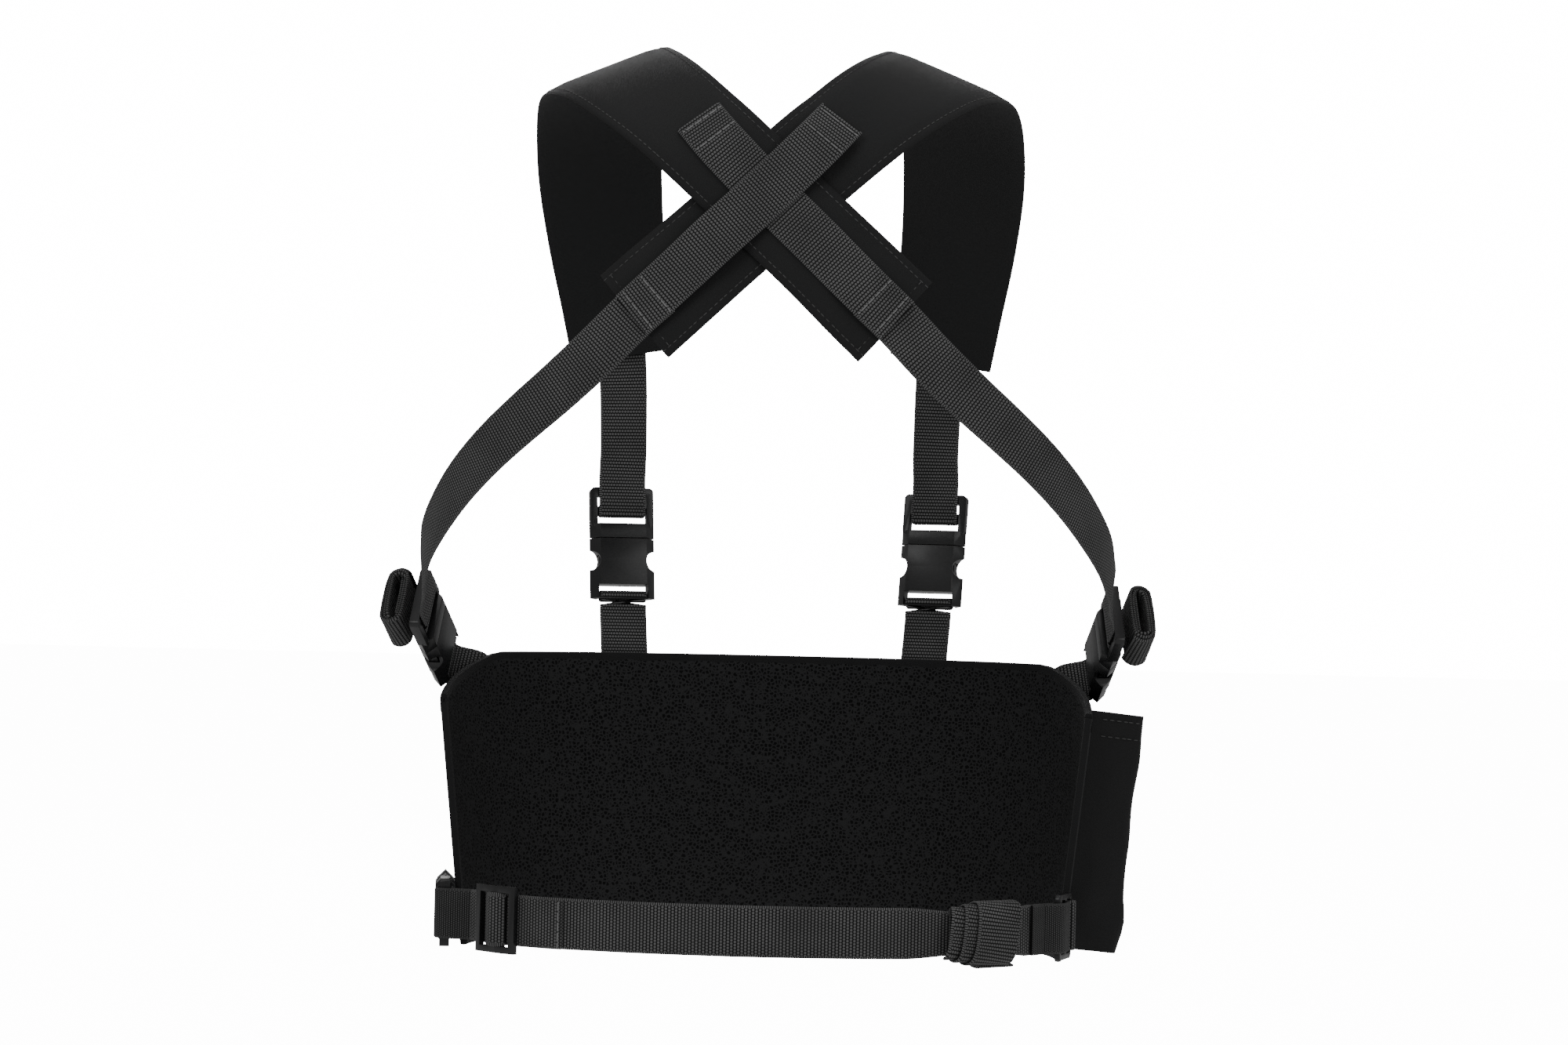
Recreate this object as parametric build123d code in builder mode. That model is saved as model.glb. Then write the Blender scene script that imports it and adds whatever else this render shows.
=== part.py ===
from build123d import *
import os
from math import copysign, cos, degrees, atan2, radians, sin

os.makedirs("parts", exist_ok=True)

# A chest rig worn on two crossing shoulder yokes. Millimetres. +Z is up, the wearer faces -Y, and the
# wearer's left is +X. The origin is on the wearer's upright axis, level with the middle of the waist strap.

# ---------------------------------------------------------------- driving dimensions
WEB_W = 25.0            # webbing width
WEB_T = 1.4             # webbing thickness
LAYER_GAP = 0.4         # clearance between two soft layers that lie on each other
SEWN_GAP = 0.1          # clearance between the plies of one sewn sandwich
BODY_GAP = 1.0          # clearance between a strap and the wearer

# The wearer's form: a four-arc oval at the waist that widens with height.
SIDE_CENTRE = 60.0      # centre of a side arc, out along X
SIDE_RADIUS = 88.0      # radius of a side arc
HALF_DEPTH = 98.0       # half of the oval's front-to-back depth
PANEL_BOTTOM = -17.0    # lower edge of the chest panel
PANEL_TOP = 125.0       # upper edge of the chest panel
PANEL_FLARE = 15.0      # how far the form widens, each side, from the panel's lower to its upper edge
CHEST_FLARE = ((PANEL_TOP, PANEL_FLARE), (180.0, 27.0), (230.0, 31.0), (300.0, 30.0))

# Chest panel
LEFT_EDGE = -3.0        # where the panel's left rear edge lies, in degrees round the wearer from +X
RIGHT_EDGE = 4.0        # the same on the right, where a longer wing carries the side pouch
WING_TOP = 103.0        # height of the panel's rear corner
WING_START_Y = -66.0    # where the upper edge starts to slope down to the rear corner
PANEL_LIFT = 0.5        # clearance between the panel and the wearer
LINER_T = 1.8
STIFFENER_T = 1.0
FACE_T = 0.8
STIFFENER_INSET = 6.0

# Flapped front pouches
POUCH_W = 88.0
POUCH_DEPTH = 26.0
POUCH_WALL = 1.2
POUCH_SPACE = 8.5       # gap between neighbouring pouches
POUCH_TOP = 124.0       # length of a pouch, up the panel from its floor
POUCH_FLOOR = 3.0       # floor of a pouch above the panel's lower edge
FLAP_T = 1.4
FLAP_DROP = 65.0        # how far a flap comes down over the pouch
FLAP_SIDE = 1.5         # how far a flap is wider than its pouch, each side
FLAP_HINGE = 5.5        # distance of the flap's fold line from the panel
FLAP_CORNER = 8.0       # radius of a flap's lower corners
FLAP_CUT = 1.0          # gap at the fold between the sewn strip and the flap
HOOK_T = 1.0
HOOK_W = 60.0
HOOK_H = 38.0

# Open side pouch on the wearer's right
SIDE_POUCH_W = 60.0
SIDE_POUCH_DEPTH = 27.0
SIDE_POUCH_H = 121.0
SIDE_POUCH_AT = -21.2   # middle of the pouch, in degrees round the wearer
HEM_H = 15.0
POUCH_STRAP_AT = 36.0   # lower end of the strap on the pouch's face, up from the pouch's floor
TAB_W = 12.0
TAB_L = 15.0
TAB_T = 1.6
TAB_AT = 60.0           # lower edge of the tab, up from the pouch's floor

# Yokes
YOKE_LINING_T = 0.6
YOKE_FOAM_T = 1.5
YOKE_FACE_T = 0.8
YOKE_FOAM_INSET = 5.0
YOKE_TUCK = 1.8         # extra height of the yoke webbing where the side strap lies under it
BACK_Y = HALF_DEPTH + 12.0      # depth of the middle of the crossing
FRONT_Y = HALF_DEPTH + 18.5     # depth of a yoke's lower end on the chest
BACK_Z = 353.0
BACK_LEAN = 10.0        # degrees that the upper back leans forward

# Buckles for 25 mm webbing
BUCKLE_W = 35.0
BUCKLE_T = 10.0
BUCKLE_FLAT = 25.0      # width of a buckle's flat before its sides slope to a ridge
FEMALE_L = 32.0
MALE_L = 27.5
PRONG_L = 21.0
PRONG_W = 3.4
PRONG_T = 4.4
PRONG_OUT = 10.6        # middle of a side prong from the buckle's axis
GUIDE_W = 4.0
SHELL_CAVITY_W = 26.4
SHELL_CAVITY_T = 6.0
SHELL_FLOOR = -22.5     # bottom of the shell's cavity, along the buckle
SHELL_WINDOW = (-17.0, -6.5)
WINDOW_DEPTH = 5.1      # how far a side window cuts into the shell
BARB = (-14.0, -9.0, -7.0)  # along a prong: start and end of its widest stretch, and the end of its shoulder
FIT_GAP = 0.4           # clearance of the male half in the shell
FRAME_T = 5.0
BAR_T = 3.2
SLOT_GAP = 1.5          # slot width over the webbing's width
RELEASE_TRAVEL = 26.0   # how far a tongue draws out of its shell

# Tri-glide on the waist strap
GLIDE_L = 28.0
GLIDE_H = 33.0
GLIDE_AT = 45.0
GLIDE_T = 2.8
GLIDE_BAR = 4.2
GLIDE_RIM = 3.6

# Rolled strap ends
ROLL_L = 34.0
ROLL_T = 13.5
ROLL_WALL = 4.4         # about three turns of webbing
ROLL_STEM = 2.2         # height of the roll over the loop round the ladder bar

# ---------------------------------------------------------------- the wearer's form
DEPTH_STEP = HALF_DEPTH - SIDE_RADIUS
FLAT_CENTRE = (SIDE_CENTRE**2 - DEPTH_STEP**2) / (2 * DEPTH_STEP)
FLAT_RADIUS = HALF_DEPTH + FLAT_CENTRE
JOIN_ANGLE = degrees(atan2(FLAT_CENTRE, SIDE_CENTRE))
FACE_IN = PANEL_LIFT + LINER_T + STIFFENER_T + 2 * SEWN_GAP
FACE_OUT = FACE_IN + FACE_T
PANEL_SEAT = FACE_OUT + 0.3     # where pieces sewn on the panel start
PANEL_LEAN = degrees(atan2(PANEL_FLARE, PANEL_TOP - PANEL_BOTTOM))


def flare(height):
    """How far the wearer's form stands outside the waist oval at a height."""
    if height <= PANEL_TOP:
        return PANEL_FLARE * (height - PANEL_BOTTOM) / (PANEL_TOP - PANEL_BOTTOM)
    for (low, low_flare), (high, high_flare) in zip(CHEST_FLARE, CHEST_FLARE[1:]):
        if height <= high:
            return low_flare + (high_flare - low_flare) * (height - low) / (high - low)
    return CHEST_FLARE[-1][1]


def girth_arc(angle):
    """Centre and radius of the oval's arc whose outward normal points at an angle."""
    across, along = cos(radians(angle)), sin(radians(angle))
    if abs(across) >= cos(radians(JOIN_ANGLE)):
        return (copysign(SIDE_CENTRE, across), 0.0), SIDE_RADIUS
    return (0.0, -copysign(FLAT_CENTRE, along)), FLAT_RADIUS


def girth_point(angle, height, lift, side=1):
    """A point a lift outside the wearer's form. side -1 mirrors it to the wearer's right."""
    (centre_x, centre_y), radius = girth_arc(angle)
    reach = radius + flare(height) + lift
    x = centre_x + reach * cos(radians(angle))
    y = centre_y + reach * sin(radians(angle))
    return Vector(side * x, y, height)


def girth_normal(angle, side=1, lean=0.0):
    """The way out of the wearer at an angle, turned down by a lean."""
    level = Vector(side * cos(radians(angle)), sin(radians(angle)), 0)
    return level * cos(radians(lean)) - Vector(0, 0, sin(radians(lean)))


def run_plane(angle, height, lift, rise, side=1, lean=0.0):
    """A plane lying on the wearer: local X runs towards the back and up by rise, local Z points out."""
    out = girth_normal(angle, side, lean)
    level = Vector(-side * sin(radians(angle)), cos(radians(angle)), 0)
    up = out.cross(level) * side
    run = level * cos(radians(rise)) + up * sin(radians(rise))
    return Plane(origin=girth_point(angle, height, lift, side), x_dir=run, z_dir=out)


def split_angles(start, end):
    """The stretches of an angle range that lie on one arc of the oval each."""
    joins = (-180 - JOIN_ANGLE, -180 + JOIN_ANGLE, -JOIN_ANGLE, JOIN_ANGLE, 180 - JOIN_ANGLE)
    marks = [start] + [join for join in joins if start < join < end] + [end]
    return list(zip(marks, marks[1:]))


def band_face(plane, start, end, inner, outer):
    """A strip of the oval between two lifts, as a face on a level plane."""
    grown = flare(plane.origin.Z)
    with BuildSketch(plane) as band:
        with BuildLine():
            for lift in (inner, outer):
                for first, last in split_angles(start, end):
                    centre, radius = girth_arc((first + last) / 2)
                    CenterArc(centre, radius + grown + lift, first, last - first)
            for angle in (start, end):
                near = girth_point(angle, plane.origin.Z, inner)
                far = girth_point(angle, plane.origin.Z, outer)
                Line((near.X, near.Y), (far.X, far.Y))
        make_face()
    return band.sketch


def write(part, label):
    part.label = label
    export_step(part, f"parts/{label}.step")


def run_tangents(points):
    """Direction of travel at each point of a run."""
    ends = list(zip(points, points[1:]))
    first, last = ends[0][1] - ends[0][0], ends[-1][1] - ends[-1][0]
    inner = [after - before for before, after in zip(points, points[2:])]
    return [step.normalized() for step in [first] + inner + [last]]


def run_sections(points, normals):
    """Section planes along a run: local X points away from the wearer, local Z along the run."""
    planes = []
    for point, normal, tangent in zip(points, normals, run_tangents(points)):
        out = normal - tangent * normal.dot(tangent)
        planes.append(Plane(origin=point, x_dir=out, z_dir=tangent))
    return planes


def ribbon(sections):
    """A strip through sections, each a plane, an inner and an outer lift, a sideways shift and a width."""
    with BuildPart() as strip:
        for plane, inner, outer, shift, width in sections:
            with BuildSketch(plane):
                with Locations(((inner + outer) / 2, shift)):
                    Rectangle(outer - inner, width)
        loft(ruled=True)
    return strip.part


# ---------------------------------------------------------------- chest panel
def wing_slopes():
    """What is cut away above the panel's wings."""
    over = PANEL_TOP + 20
    with BuildPart() as slopes:
        with BuildSketch(Plane.YZ.offset(-300)):
            with BuildLine():
                Polyline((WING_START_Y, PANEL_TOP), (0, WING_TOP), (60, WING_TOP), (60, over),
                         (WING_START_Y, over), close=True)
            make_face()
        extrude(amount=600)
    return slopes.part


def panel_ply(inner, thickness, inset):
    """One ply of the panel, drawn in from the panel's outline by an inset."""
    edge_inset = degrees(inset / SIDE_RADIUS)
    levels = (PANEL_BOTTOM + inset, PANEL_TOP - inset)
    with BuildPart() as ply:
        for level in levels:
            add(band_face(Plane.XY.offset(level), -180 - RIGHT_EDGE + edge_inset, LEFT_EDGE - edge_inset,
                          inner, inner + thickness))
        loft(ruled=True)
        add(wing_slopes().moved(Location((0, 0, -inset))), mode=Mode.SUBTRACT)
    return ply.part


def panel_envelope():
    """Everything inside the seats of the pouches, as one solid."""
    with BuildPart() as envelope:
        for level in (PANEL_BOTTOM - 8, PANEL_TOP):
            with BuildSketch(Plane.XY.offset(level)):
                with BuildLine():
                    for first, last in split_angles(-180 - JOIN_ANGLE, 180 - JOIN_ANGLE):
                        centre, radius = girth_arc((first + last) / 2)
                        CenterArc(centre, radius + flare(level) + PANEL_SEAT, first, last - first)
                make_face()
        loft(ruled=True)
    return envelope.part


write(panel_ply(PANEL_LIFT, LINER_T, 0), "panel_liner")
write(panel_ply(PANEL_LIFT + LINER_T + SEWN_GAP, STIFFENER_T, STIFFENER_INSET), "panel_stiffener")
write(panel_ply(FACE_IN, FACE_T, 0), "panel_face")
ENVELOPE = panel_envelope()

# ---------------------------------------------------------------- flapped pouches
SEAT_HEIGHT = PANEL_BOTTOM + POUCH_FLOOR
POUCH_HALF_ANGLE = degrees(POUCH_W / 2 / FLAT_RADIUS)
SPACE_ANGLE = degrees(POUCH_SPACE / FLAT_RADIUS)
FLAT_LEFT = 90 - JOIN_ANGLE - POUCH_HALF_ANGLE - SPACE_ANGLE
WRAP_ANGLE = degrees((POUCH_W - radians(FLAT_LEFT) * FLAT_RADIUS) / (SIDE_RADIUS + PANEL_FLARE / 2))
OUTER_NEAR = girth_point(-JOIN_ANGLE - FLAT_LEFT, SEAT_HEIGHT, PANEL_SEAT)
OUTER_FAR = girth_point(-JOIN_ANGLE + WRAP_ANGLE, SEAT_HEIGHT, PANEL_SEAT)
OUTER_NORMAL = degrees(atan2(OUTER_FAR.Y - OUTER_NEAR.Y, OUTER_FAR.X - OUTER_NEAR.X)) - 90
OUTER_MIDDLE = (OUTER_NEAR + OUTER_FAR) * 0.5
OUTER_MIRRORED = Vector(-OUTER_MIDDLE.X, OUTER_MIDDLE.Y, OUTER_MIDDLE.Z)


def pouch_plane(angle, side=1):
    """Seat of a pouch: local X level, local Y up the panel, local Z out of it."""
    out = girth_normal(angle, side, PANEL_LEAN)
    level = Vector(-side * sin(radians(angle)), cos(radians(angle)), 0) * side
    return Plane(origin=girth_point(angle, SEAT_HEIGHT, PANEL_SEAT, side), x_dir=level, z_dir=out)


def centred_on(plane, point):
    """The same plane, moved along its own X to lie level with a point."""
    shift = (point - plane.origin).dot(plane.x_dir)
    return plane.shift_origin(plane.origin + plane.x_dir * shift)


def box_part(plane, x_range, y_range, z_range):
    with BuildPart() as box:
        with BuildSketch(plane.offset(z_range[0])):
            with Locations((sum(x_range) / 2, sum(y_range) / 2)):
                Rectangle(x_range[1] - x_range[0], y_range[1] - y_range[0])
        extrude(amount=z_range[1] - z_range[0])
    return box.part


BEHIND = -18.0          # how far a pouch's sides are drawn past its seat before they are trimmed to the panel


def open_pouch(plane, width, length, depth, wall):
    """Floor, sides and front of a pouch that is open at the top and closed at the back by the panel."""
    half = width / 2
    outer = box_part(plane, (-half, half), (0, length), (BEHIND, depth))
    inner = box_part(plane, (wall - half, half - wall), (wall, length + 1), (BEHIND - 1, depth - wall))
    with BuildPart() as pouch:
        add(outer)
        add(inner, mode=Mode.SUBTRACT)
        add(ENVELOPE, mode=Mode.SUBTRACT)
    return pouch.part


FLAP_HALF = POUCH_W / 2 + FLAP_SIDE
LOOP_OUT = POUCH_DEPTH + SEWN_GAP + HOOK_T
HOOK_IN = LOOP_OUT + LAYER_GAP
FLAP_IN = HOOK_IN + HOOK_T + SEWN_GAP
FLAP_OUT = FLAP_IN + FLAP_T
FLAP_LOW = POUCH_TOP + LAYER_GAP
FLAP_HIGH = FLAP_LOW + FLAP_T
PATCH_MIDDLE = POUCH_TOP - FLAP_DROP + HOOK_H / 2 + 6


def flap_part(plane):
    """A flap from its fold line over the pouch's mouth and down its front."""
    top = box_part(plane, (-FLAP_HALF, FLAP_HALF), (FLAP_LOW, FLAP_HIGH), (FLAP_HINGE + FLAP_CUT, FLAP_OUT))
    drop = box_part(plane, (-FLAP_HALF, FLAP_HALF), (POUCH_TOP - FLAP_DROP, FLAP_HIGH), (FLAP_IN, FLAP_OUT))
    with BuildPart() as flap:
        add(top)
        add(drop)
        corners = flap.part.edges().filter_by(Axis(plane.origin, plane.z_dir))
        fillet(corners.sort_by(Axis(plane.origin, plane.y_dir))[:2], FLAP_CORNER)
    return flap.part


def patch(plane, inner):
    half = HOOK_W / 2
    return box_part(plane, (-half, half), (PATCH_MIDDLE - HOOK_H / 2, PATCH_MIDDLE + HOOK_H / 2),
                    (inner, inner + HOOK_T))


def flap_strip(plane):
    """The fixed strip of a flap between its seam on the panel and the fold."""
    strip = box_part(plane, (-FLAP_HALF, FLAP_HALF), (FLAP_LOW, FLAP_HIGH), (BEHIND, FLAP_HINGE - FLAP_CUT))
    with BuildPart() as sewn:
        add(strip)
        add(ENVELOPE, mode=Mode.SUBTRACT)
    return sewn.part


POUCH_SEATS = {
    "left": centred_on(pouch_plane(OUTER_NORMAL), OUTER_MIDDLE),
    "centre": pouch_plane(-90),
    "right": centred_on(pouch_plane(OUTER_NORMAL, -1), OUTER_MIRRORED),
}
for place, seat in POUCH_SEATS.items():
    write(open_pouch(seat, POUCH_W, POUCH_TOP, POUCH_DEPTH, POUCH_WALL), f"pouch_{place}")
    write(flap_part(seat), f"flap_{place}")
    write(patch(seat, HOOK_IN), f"flap_hook_{place}")
write(Compound([patch(seat, POUCH_DEPTH + SEWN_GAP) for seat in POUCH_SEATS.values()]), "pouch_loops")
write(Compound([flap_strip(seat) for seat in POUCH_SEATS.values()]), "flap_strips")

# ---------------------------------------------------------------- side pouch
SIDE_SEAT = pouch_plane(SIDE_POUCH_AT, -1)
HEM_IN = SIDE_POUCH_DEPTH + SEWN_GAP
write(open_pouch(SIDE_SEAT, SIDE_POUCH_W, SIDE_POUCH_H, SIDE_POUCH_DEPTH, POUCH_WALL), "side_pouch")
write(box_part(SIDE_SEAT, (-WEB_W / 2, WEB_W / 2), (POUCH_STRAP_AT, SIDE_POUCH_H - HEM_H - 2),
               (HEM_IN, HEM_IN + WEB_T)), "side_pouch_strap")
TAB_IN = HEM_IN + WEB_T + LAYER_GAP
write(box_part(SIDE_SEAT, (-TAB_W / 2, TAB_W / 2), (TAB_AT, TAB_AT + TAB_L), (TAB_IN, TAB_IN + TAB_T)),
      "side_pouch_tab")

# ---------------------------------------------------------------- yokes
YOKE_T = YOKE_LINING_T + YOKE_FOAM_T + YOKE_FACE_T + 2 * SEWN_GAP
CROSSING_LIFT = YOKE_T + LAYER_GAP
BACK_SLOPE = sin(radians(BACK_LEAN)) / cos(radians(BACK_LEAN))
BACK_OUT = (0.0, cos(radians(BACK_LEAN)), sin(radians(BACK_LEAN)))


def on_back(z):
    """Depth of the flat of the upper back at a height."""
    return BACK_Y - (z - BACK_Z) * BACK_SLOPE


# Left yoke from its lower end at the back, over the left shoulder, to its end on the chest:
# a point of its middle line, the way it faces, its width, and the share of the crossing lift there.
YOKE_RUN = (
    ((-62.5, BACK_Y + 4.5, 295.3), (-0.18, 0.97, 0.12), 53.5, 0.0),
    ((-50.0, on_back(306.8) - 2.0, 306.8), (-0.12, 0.975, 0.15), 53.0, 0.15),
    ((-37.0, on_back(318.8) - 1.0, 318.8), (-0.06, 0.98, 0.17), 52.0, 0.6),
    ((-24.0, on_back(330.8), 330.8), BACK_OUT, 51.0, 1.0),
    ((0.0, BACK_Y, BACK_Z), BACK_OUT, 51.0, 1.0),
    ((24.0, on_back(375.2), 375.2), BACK_OUT, 51.0, 1.0),
    ((37.5, BACK_Y - 9.0, 387.0), (0.05, 0.93, 0.36), 52.0, 0.6),
    ((50.0, BACK_Y - 17.5, 398.0), (0.12, 0.84, 0.53), 54.0, 0.2),
    ((64.0, BACK_Y - 34.0, 409.0), (0.2, 0.65, 0.73), 58.0, 0.0),
    ((76.0, BACK_Y - 56.0, 417.0), (0.3, 0.36, 0.88), 62.0, 0.0),
    ((85.0, BACK_Y - 82.0, 420.5), (0.38, 0.08, 0.92), 66.0, 0.0),
    ((90.0, 112.5 - FRONT_Y, 416.5), (0.38, -0.3, 0.87), 67.0, 0.0),
    ((93.0, 78.5 - FRONT_Y, 401.0), (0.34, -0.6, 0.72), 67.0, 0.0),
    ((94.0, 49.5 - FRONT_Y, 375.0), (0.26, -0.82, 0.5), 65.0, 0.0),
    ((92.0, 26.5 - FRONT_Y, 344.0), (0.2, -0.92, 0.33), 61.0, 0.0),
    ((88.0, 10.5 - FRONT_Y, 313.0), (0.14, -0.965, 0.2), 57.0, 0.0),
    ((84.0, -FRONT_Y, 284.0), (0.1, -0.985, 0.1), 54.0, 0.0),
)
WEBBING_STATIONS = 7            # the yoke webbing covers the yoke's first stations
TUCK_STATIONS = 2               # the side strap lies under it at the first of these
WEBBING_SHIFT = (0.0, 0.0, 0.5, 1.0, 1.5, 3.0, 5.0)


def yoke_sections(side):
    points = [Vector(side * point[0], point[1], point[2]) for point, *rest in YOKE_RUN]
    normals = [Vector(side * normal[0], normal[1], normal[2]) for _, normal, *rest in YOKE_RUN]
    return run_sections(points, normals)


def yoke_ply(side, over, inner, thickness, inset):
    """One ply of a yoke. over is the height that the whole yoke is raised by at the crossing."""
    sections = []
    for plane, (_, _, width, share) in zip(yoke_sections(side), YOKE_RUN):
        base = inner + share * over
        sections.append((plane, base, base + thickness, 0, width - 2 * inset))
    if inset:
        sections = sections[1:-1]
    return ribbon(sections)


def yoke_webbing(side, over, under):
    """Webbing sewn along the back of a yoke. under is what it steps over at the crossing."""
    sections = []
    for index, plane in enumerate(yoke_sections(side)[:WEBBING_STATIONS]):
        share = YOKE_RUN[index][3]
        tuck = YOKE_TUCK if index < TUCK_STATIONS else 0.0
        base = YOKE_T + LAYER_GAP + share * (over + under) + tuck
        sections.append((plane, base, base + WEB_T, side * WEBBING_SHIFT[index], WEB_W))
    return ribbon(sections)


for label, side, over in (("yoke_right", -1, 0.0), ("yoke_left", 1, CROSSING_LIFT)):
    foam_in = YOKE_LINING_T + SEWN_GAP
    face_in = foam_in + YOKE_FOAM_T + SEWN_GAP
    write(yoke_ply(side, over, 0.0, YOKE_LINING_T, 0), f"{label}_lining")
    write(yoke_ply(side, over, foam_in, YOKE_FOAM_T, YOKE_FOAM_INSET), f"{label}_foam")
    write(yoke_ply(side, over, face_in, YOKE_FACE_T, 0), f"{label}_face")
write(yoke_webbing(1, CROSSING_LIFT, 0.0), "yoke_webbing_left")
write(yoke_webbing(-1, 0.0, CROSSING_LIFT + WEB_T + LAYER_GAP), "yoke_webbing_right")

# ---------------------------------------------------------------- buckles
HALF_W = BUCKLE_W / 2
HALF_T = BUCKLE_T / 2
SLOT_W = WEB_W + SLOT_GAP
NEAR_SLOT = (8.0, 13.4)         # slot between the shoulder and the ladder bar, along the male half
FAR_SLOT = (16.8, 22.6)         # slot between the ladder bar and the end bar
LADDER_BAR = (NEAR_SLOT[1], FAR_SLOT[0])
ANCHOR_SLOT = (-29.3, -24.6)    # slot for the anchor webbing in the shell
ANCHOR_BAR = (-FEMALE_L, ANCHOR_SLOT[0])


def across_plane(plane, along):
    """The plane across a buckle at a place along it: local X across, local Y out, local Z along."""
    return Plane(origin=plane.origin + plane.x_dir * along, x_dir=plane.y_dir, z_dir=plane.x_dir)


def ridged_body(plane, start, length):
    """A buckle's body: flat in the middle and ridged along both sides."""
    flat = BUCKLE_FLAT / 2
    with BuildPart() as body:
        with BuildSketch(across_plane(plane, start)):
            with BuildLine():
                Polyline((-HALF_W, 0), (-flat, -HALF_T), (flat, -HALF_T), (HALF_W, 0), (flat, HALF_T),
                         (-flat, HALF_T), close=True)
            make_face()
        extrude(amount=length)
    return body.part


def buckle_shell(plane):
    """The half of a side-release buckle that takes the prongs."""
    with BuildPart() as shell:
        add(ridged_body(plane, -FEMALE_L, FEMALE_L))
        with BuildSketch(across_plane(plane, SHELL_FLOOR)):
            Rectangle(SHELL_CAVITY_W, SHELL_CAVITY_T)
        extrude(amount=1 - SHELL_FLOOR, mode=Mode.SUBTRACT)
        with BuildSketch(plane.offset(-HALF_T - 1)):
            for side in (-1, 1):
                with Locations((sum(SHELL_WINDOW) / 2, side * HALF_W)):
                    SlotOverall(SHELL_WINDOW[1] - SHELL_WINDOW[0], 2 * WINDOW_DEPTH)
        extrude(amount=BUCKLE_T + 2, mode=Mode.SUBTRACT)
        with BuildSketch(plane.offset(-HALF_T - 1)):
            with Locations((sum(ANCHOR_SLOT) / 2, 0)):
                Rectangle(ANCHOR_SLOT[1] - ANCHOR_SLOT[0], SLOT_W)
        extrude(amount=BUCKLE_T + 2, mode=Mode.SUBTRACT)
        for away in (-1, 1):
            low, high = sorted((away * BAR_T / 2, away * (HALF_T + 1)))
            with BuildSketch(plane.offset(low)):
                with Locations(((-FEMALE_L - 1 + ANCHOR_SLOT[1]) / 2, 0)):
                    Rectangle(ANCHOR_SLOT[1] + FEMALE_L + 1, SLOT_W)
            extrude(amount=high - low, mode=Mode.SUBTRACT)
    return shell.part


def buckle_tongue(plane):
    """The half of a side-release buckle with the prongs and the ladder bar."""
    with BuildPart() as tongue:
        add(ridged_body(plane, FIT_GAP, NEAR_SLOT[0] - FIT_GAP))
        with BuildSketch(plane.offset(-FRAME_T / 2)):
            with Locations(((MALE_L + NEAR_SLOT[0] - 2) / 2, 0)):
                RectangleRounded(MALE_L - NEAR_SLOT[0] + 2, BUCKLE_W - 1, 2.5)
            for slot in (NEAR_SLOT, FAR_SLOT):
                with Locations((sum(slot) / 2, 0)):
                    Rectangle(slot[1] - slot[0], SLOT_W, mode=Mode.SUBTRACT)
        extrude(amount=FRAME_T)
        for away in (-1, 1):
            low, high = sorted((away * BAR_T / 2, away * (FRAME_T / 2 + 1)))
            with BuildSketch(plane.offset(low)):
                with Locations((sum(LADDER_BAR) / 2, 0)):
                    Rectangle(LADDER_BAR[1] - LADDER_BAR[0] + 0.4, SLOT_W)
            extrude(amount=high - low, mode=Mode.SUBTRACT)
        with BuildSketch(plane.offset(-PRONG_T / 2)):
            with Locations(((1 - PRONG_L) / 2, 0)):
                Rectangle(PRONG_L + 1, GUIDE_W)
            for side in (-1, 1):
                with BuildLine():
                    near = side * (PRONG_OUT - PRONG_W / 2)
                    far = side * (PRONG_OUT + PRONG_W / 2)
                    tip = side * (SHELL_CAVITY_W / 2 - FIT_GAP)
                    Polyline((1, near), (-PRONG_L, near), (-PRONG_L, far), (BARB[0], tip), (BARB[1], tip),
                             (BARB[2], far), (1, far), close=True)
                make_face()
        extrude(amount=PRONG_T)
    return tongue.part


def bar_loop(plane, bar, slack=LAYER_GAP):
    """Webbing lapped round a bar, as a flat ring across the buckle."""
    middle = (bar[0] + bar[1]) / 2
    clear_w = bar[1] - bar[0] + 2 * slack
    clear_t = BAR_T + 2 * slack
    section = Plane(origin=plane.origin + plane.x_dir * middle - plane.y_dir * (WEB_W / 2),
                    x_dir=plane.x_dir, z_dir=plane.y_dir)
    with BuildPart() as loop:
        with BuildSketch(section):
            RectangleRounded(clear_w + 2 * WEB_T, clear_t + 2 * WEB_T, WEB_T + 0.4)
            RectangleRounded(clear_w, clear_t, 0.4, mode=Mode.SUBTRACT)
        extrude(amount=WEB_W)
    return loop.part


def joined(*pieces):
    """One sewn piece out of stretches that run into each other."""
    with BuildPart() as whole:
        for piece in pieces:
            add(piece)
    return whole.part


def buckle_section(plane, along, out):
    """A section plane for a strap that leaves a buckle: local X out, local Z along the buckle."""
    origin = plane.origin + plane.x_dir * along + plane.z_dir * out
    return Plane(origin=origin, x_dir=plane.z_dir, z_dir=plane.x_dir)


LOOP_HALF_T = BAR_T / 2 + LAYER_GAP + WEB_T
LADDER_MIDDLE = sum(LADDER_BAR) / 2
LADDER_LOOP_END = LADDER_BAR[1] + LAYER_GAP + WEB_T
ANCHOR_LOOP_END = ANCHOR_BAR[0] - LAYER_GAP - WEB_T
UNDER_FRAME = FRAME_T / 2 + LAYER_GAP + WEB_T / 2     # where a strap passes a tongue's end bar


def anchor(plane, points, normals):
    """Webbing from the panel to a shell's bar. The points run from the panel towards the buckle."""
    sections = [(section, -WEB_T / 2, WEB_T / 2, 0, WEB_W) for section in run_sections(points, normals)]
    for along in (ANCHOR_LOOP_END - 1.0, ANCHOR_LOOP_END + WEB_T / 2):
        sections.append((buckle_section(plane, along, 0), -WEB_T / 2, WEB_T / 2, 0, WEB_W))
    return joined(bar_loop(plane, ANCHOR_BAR), ribbon(sections))


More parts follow.
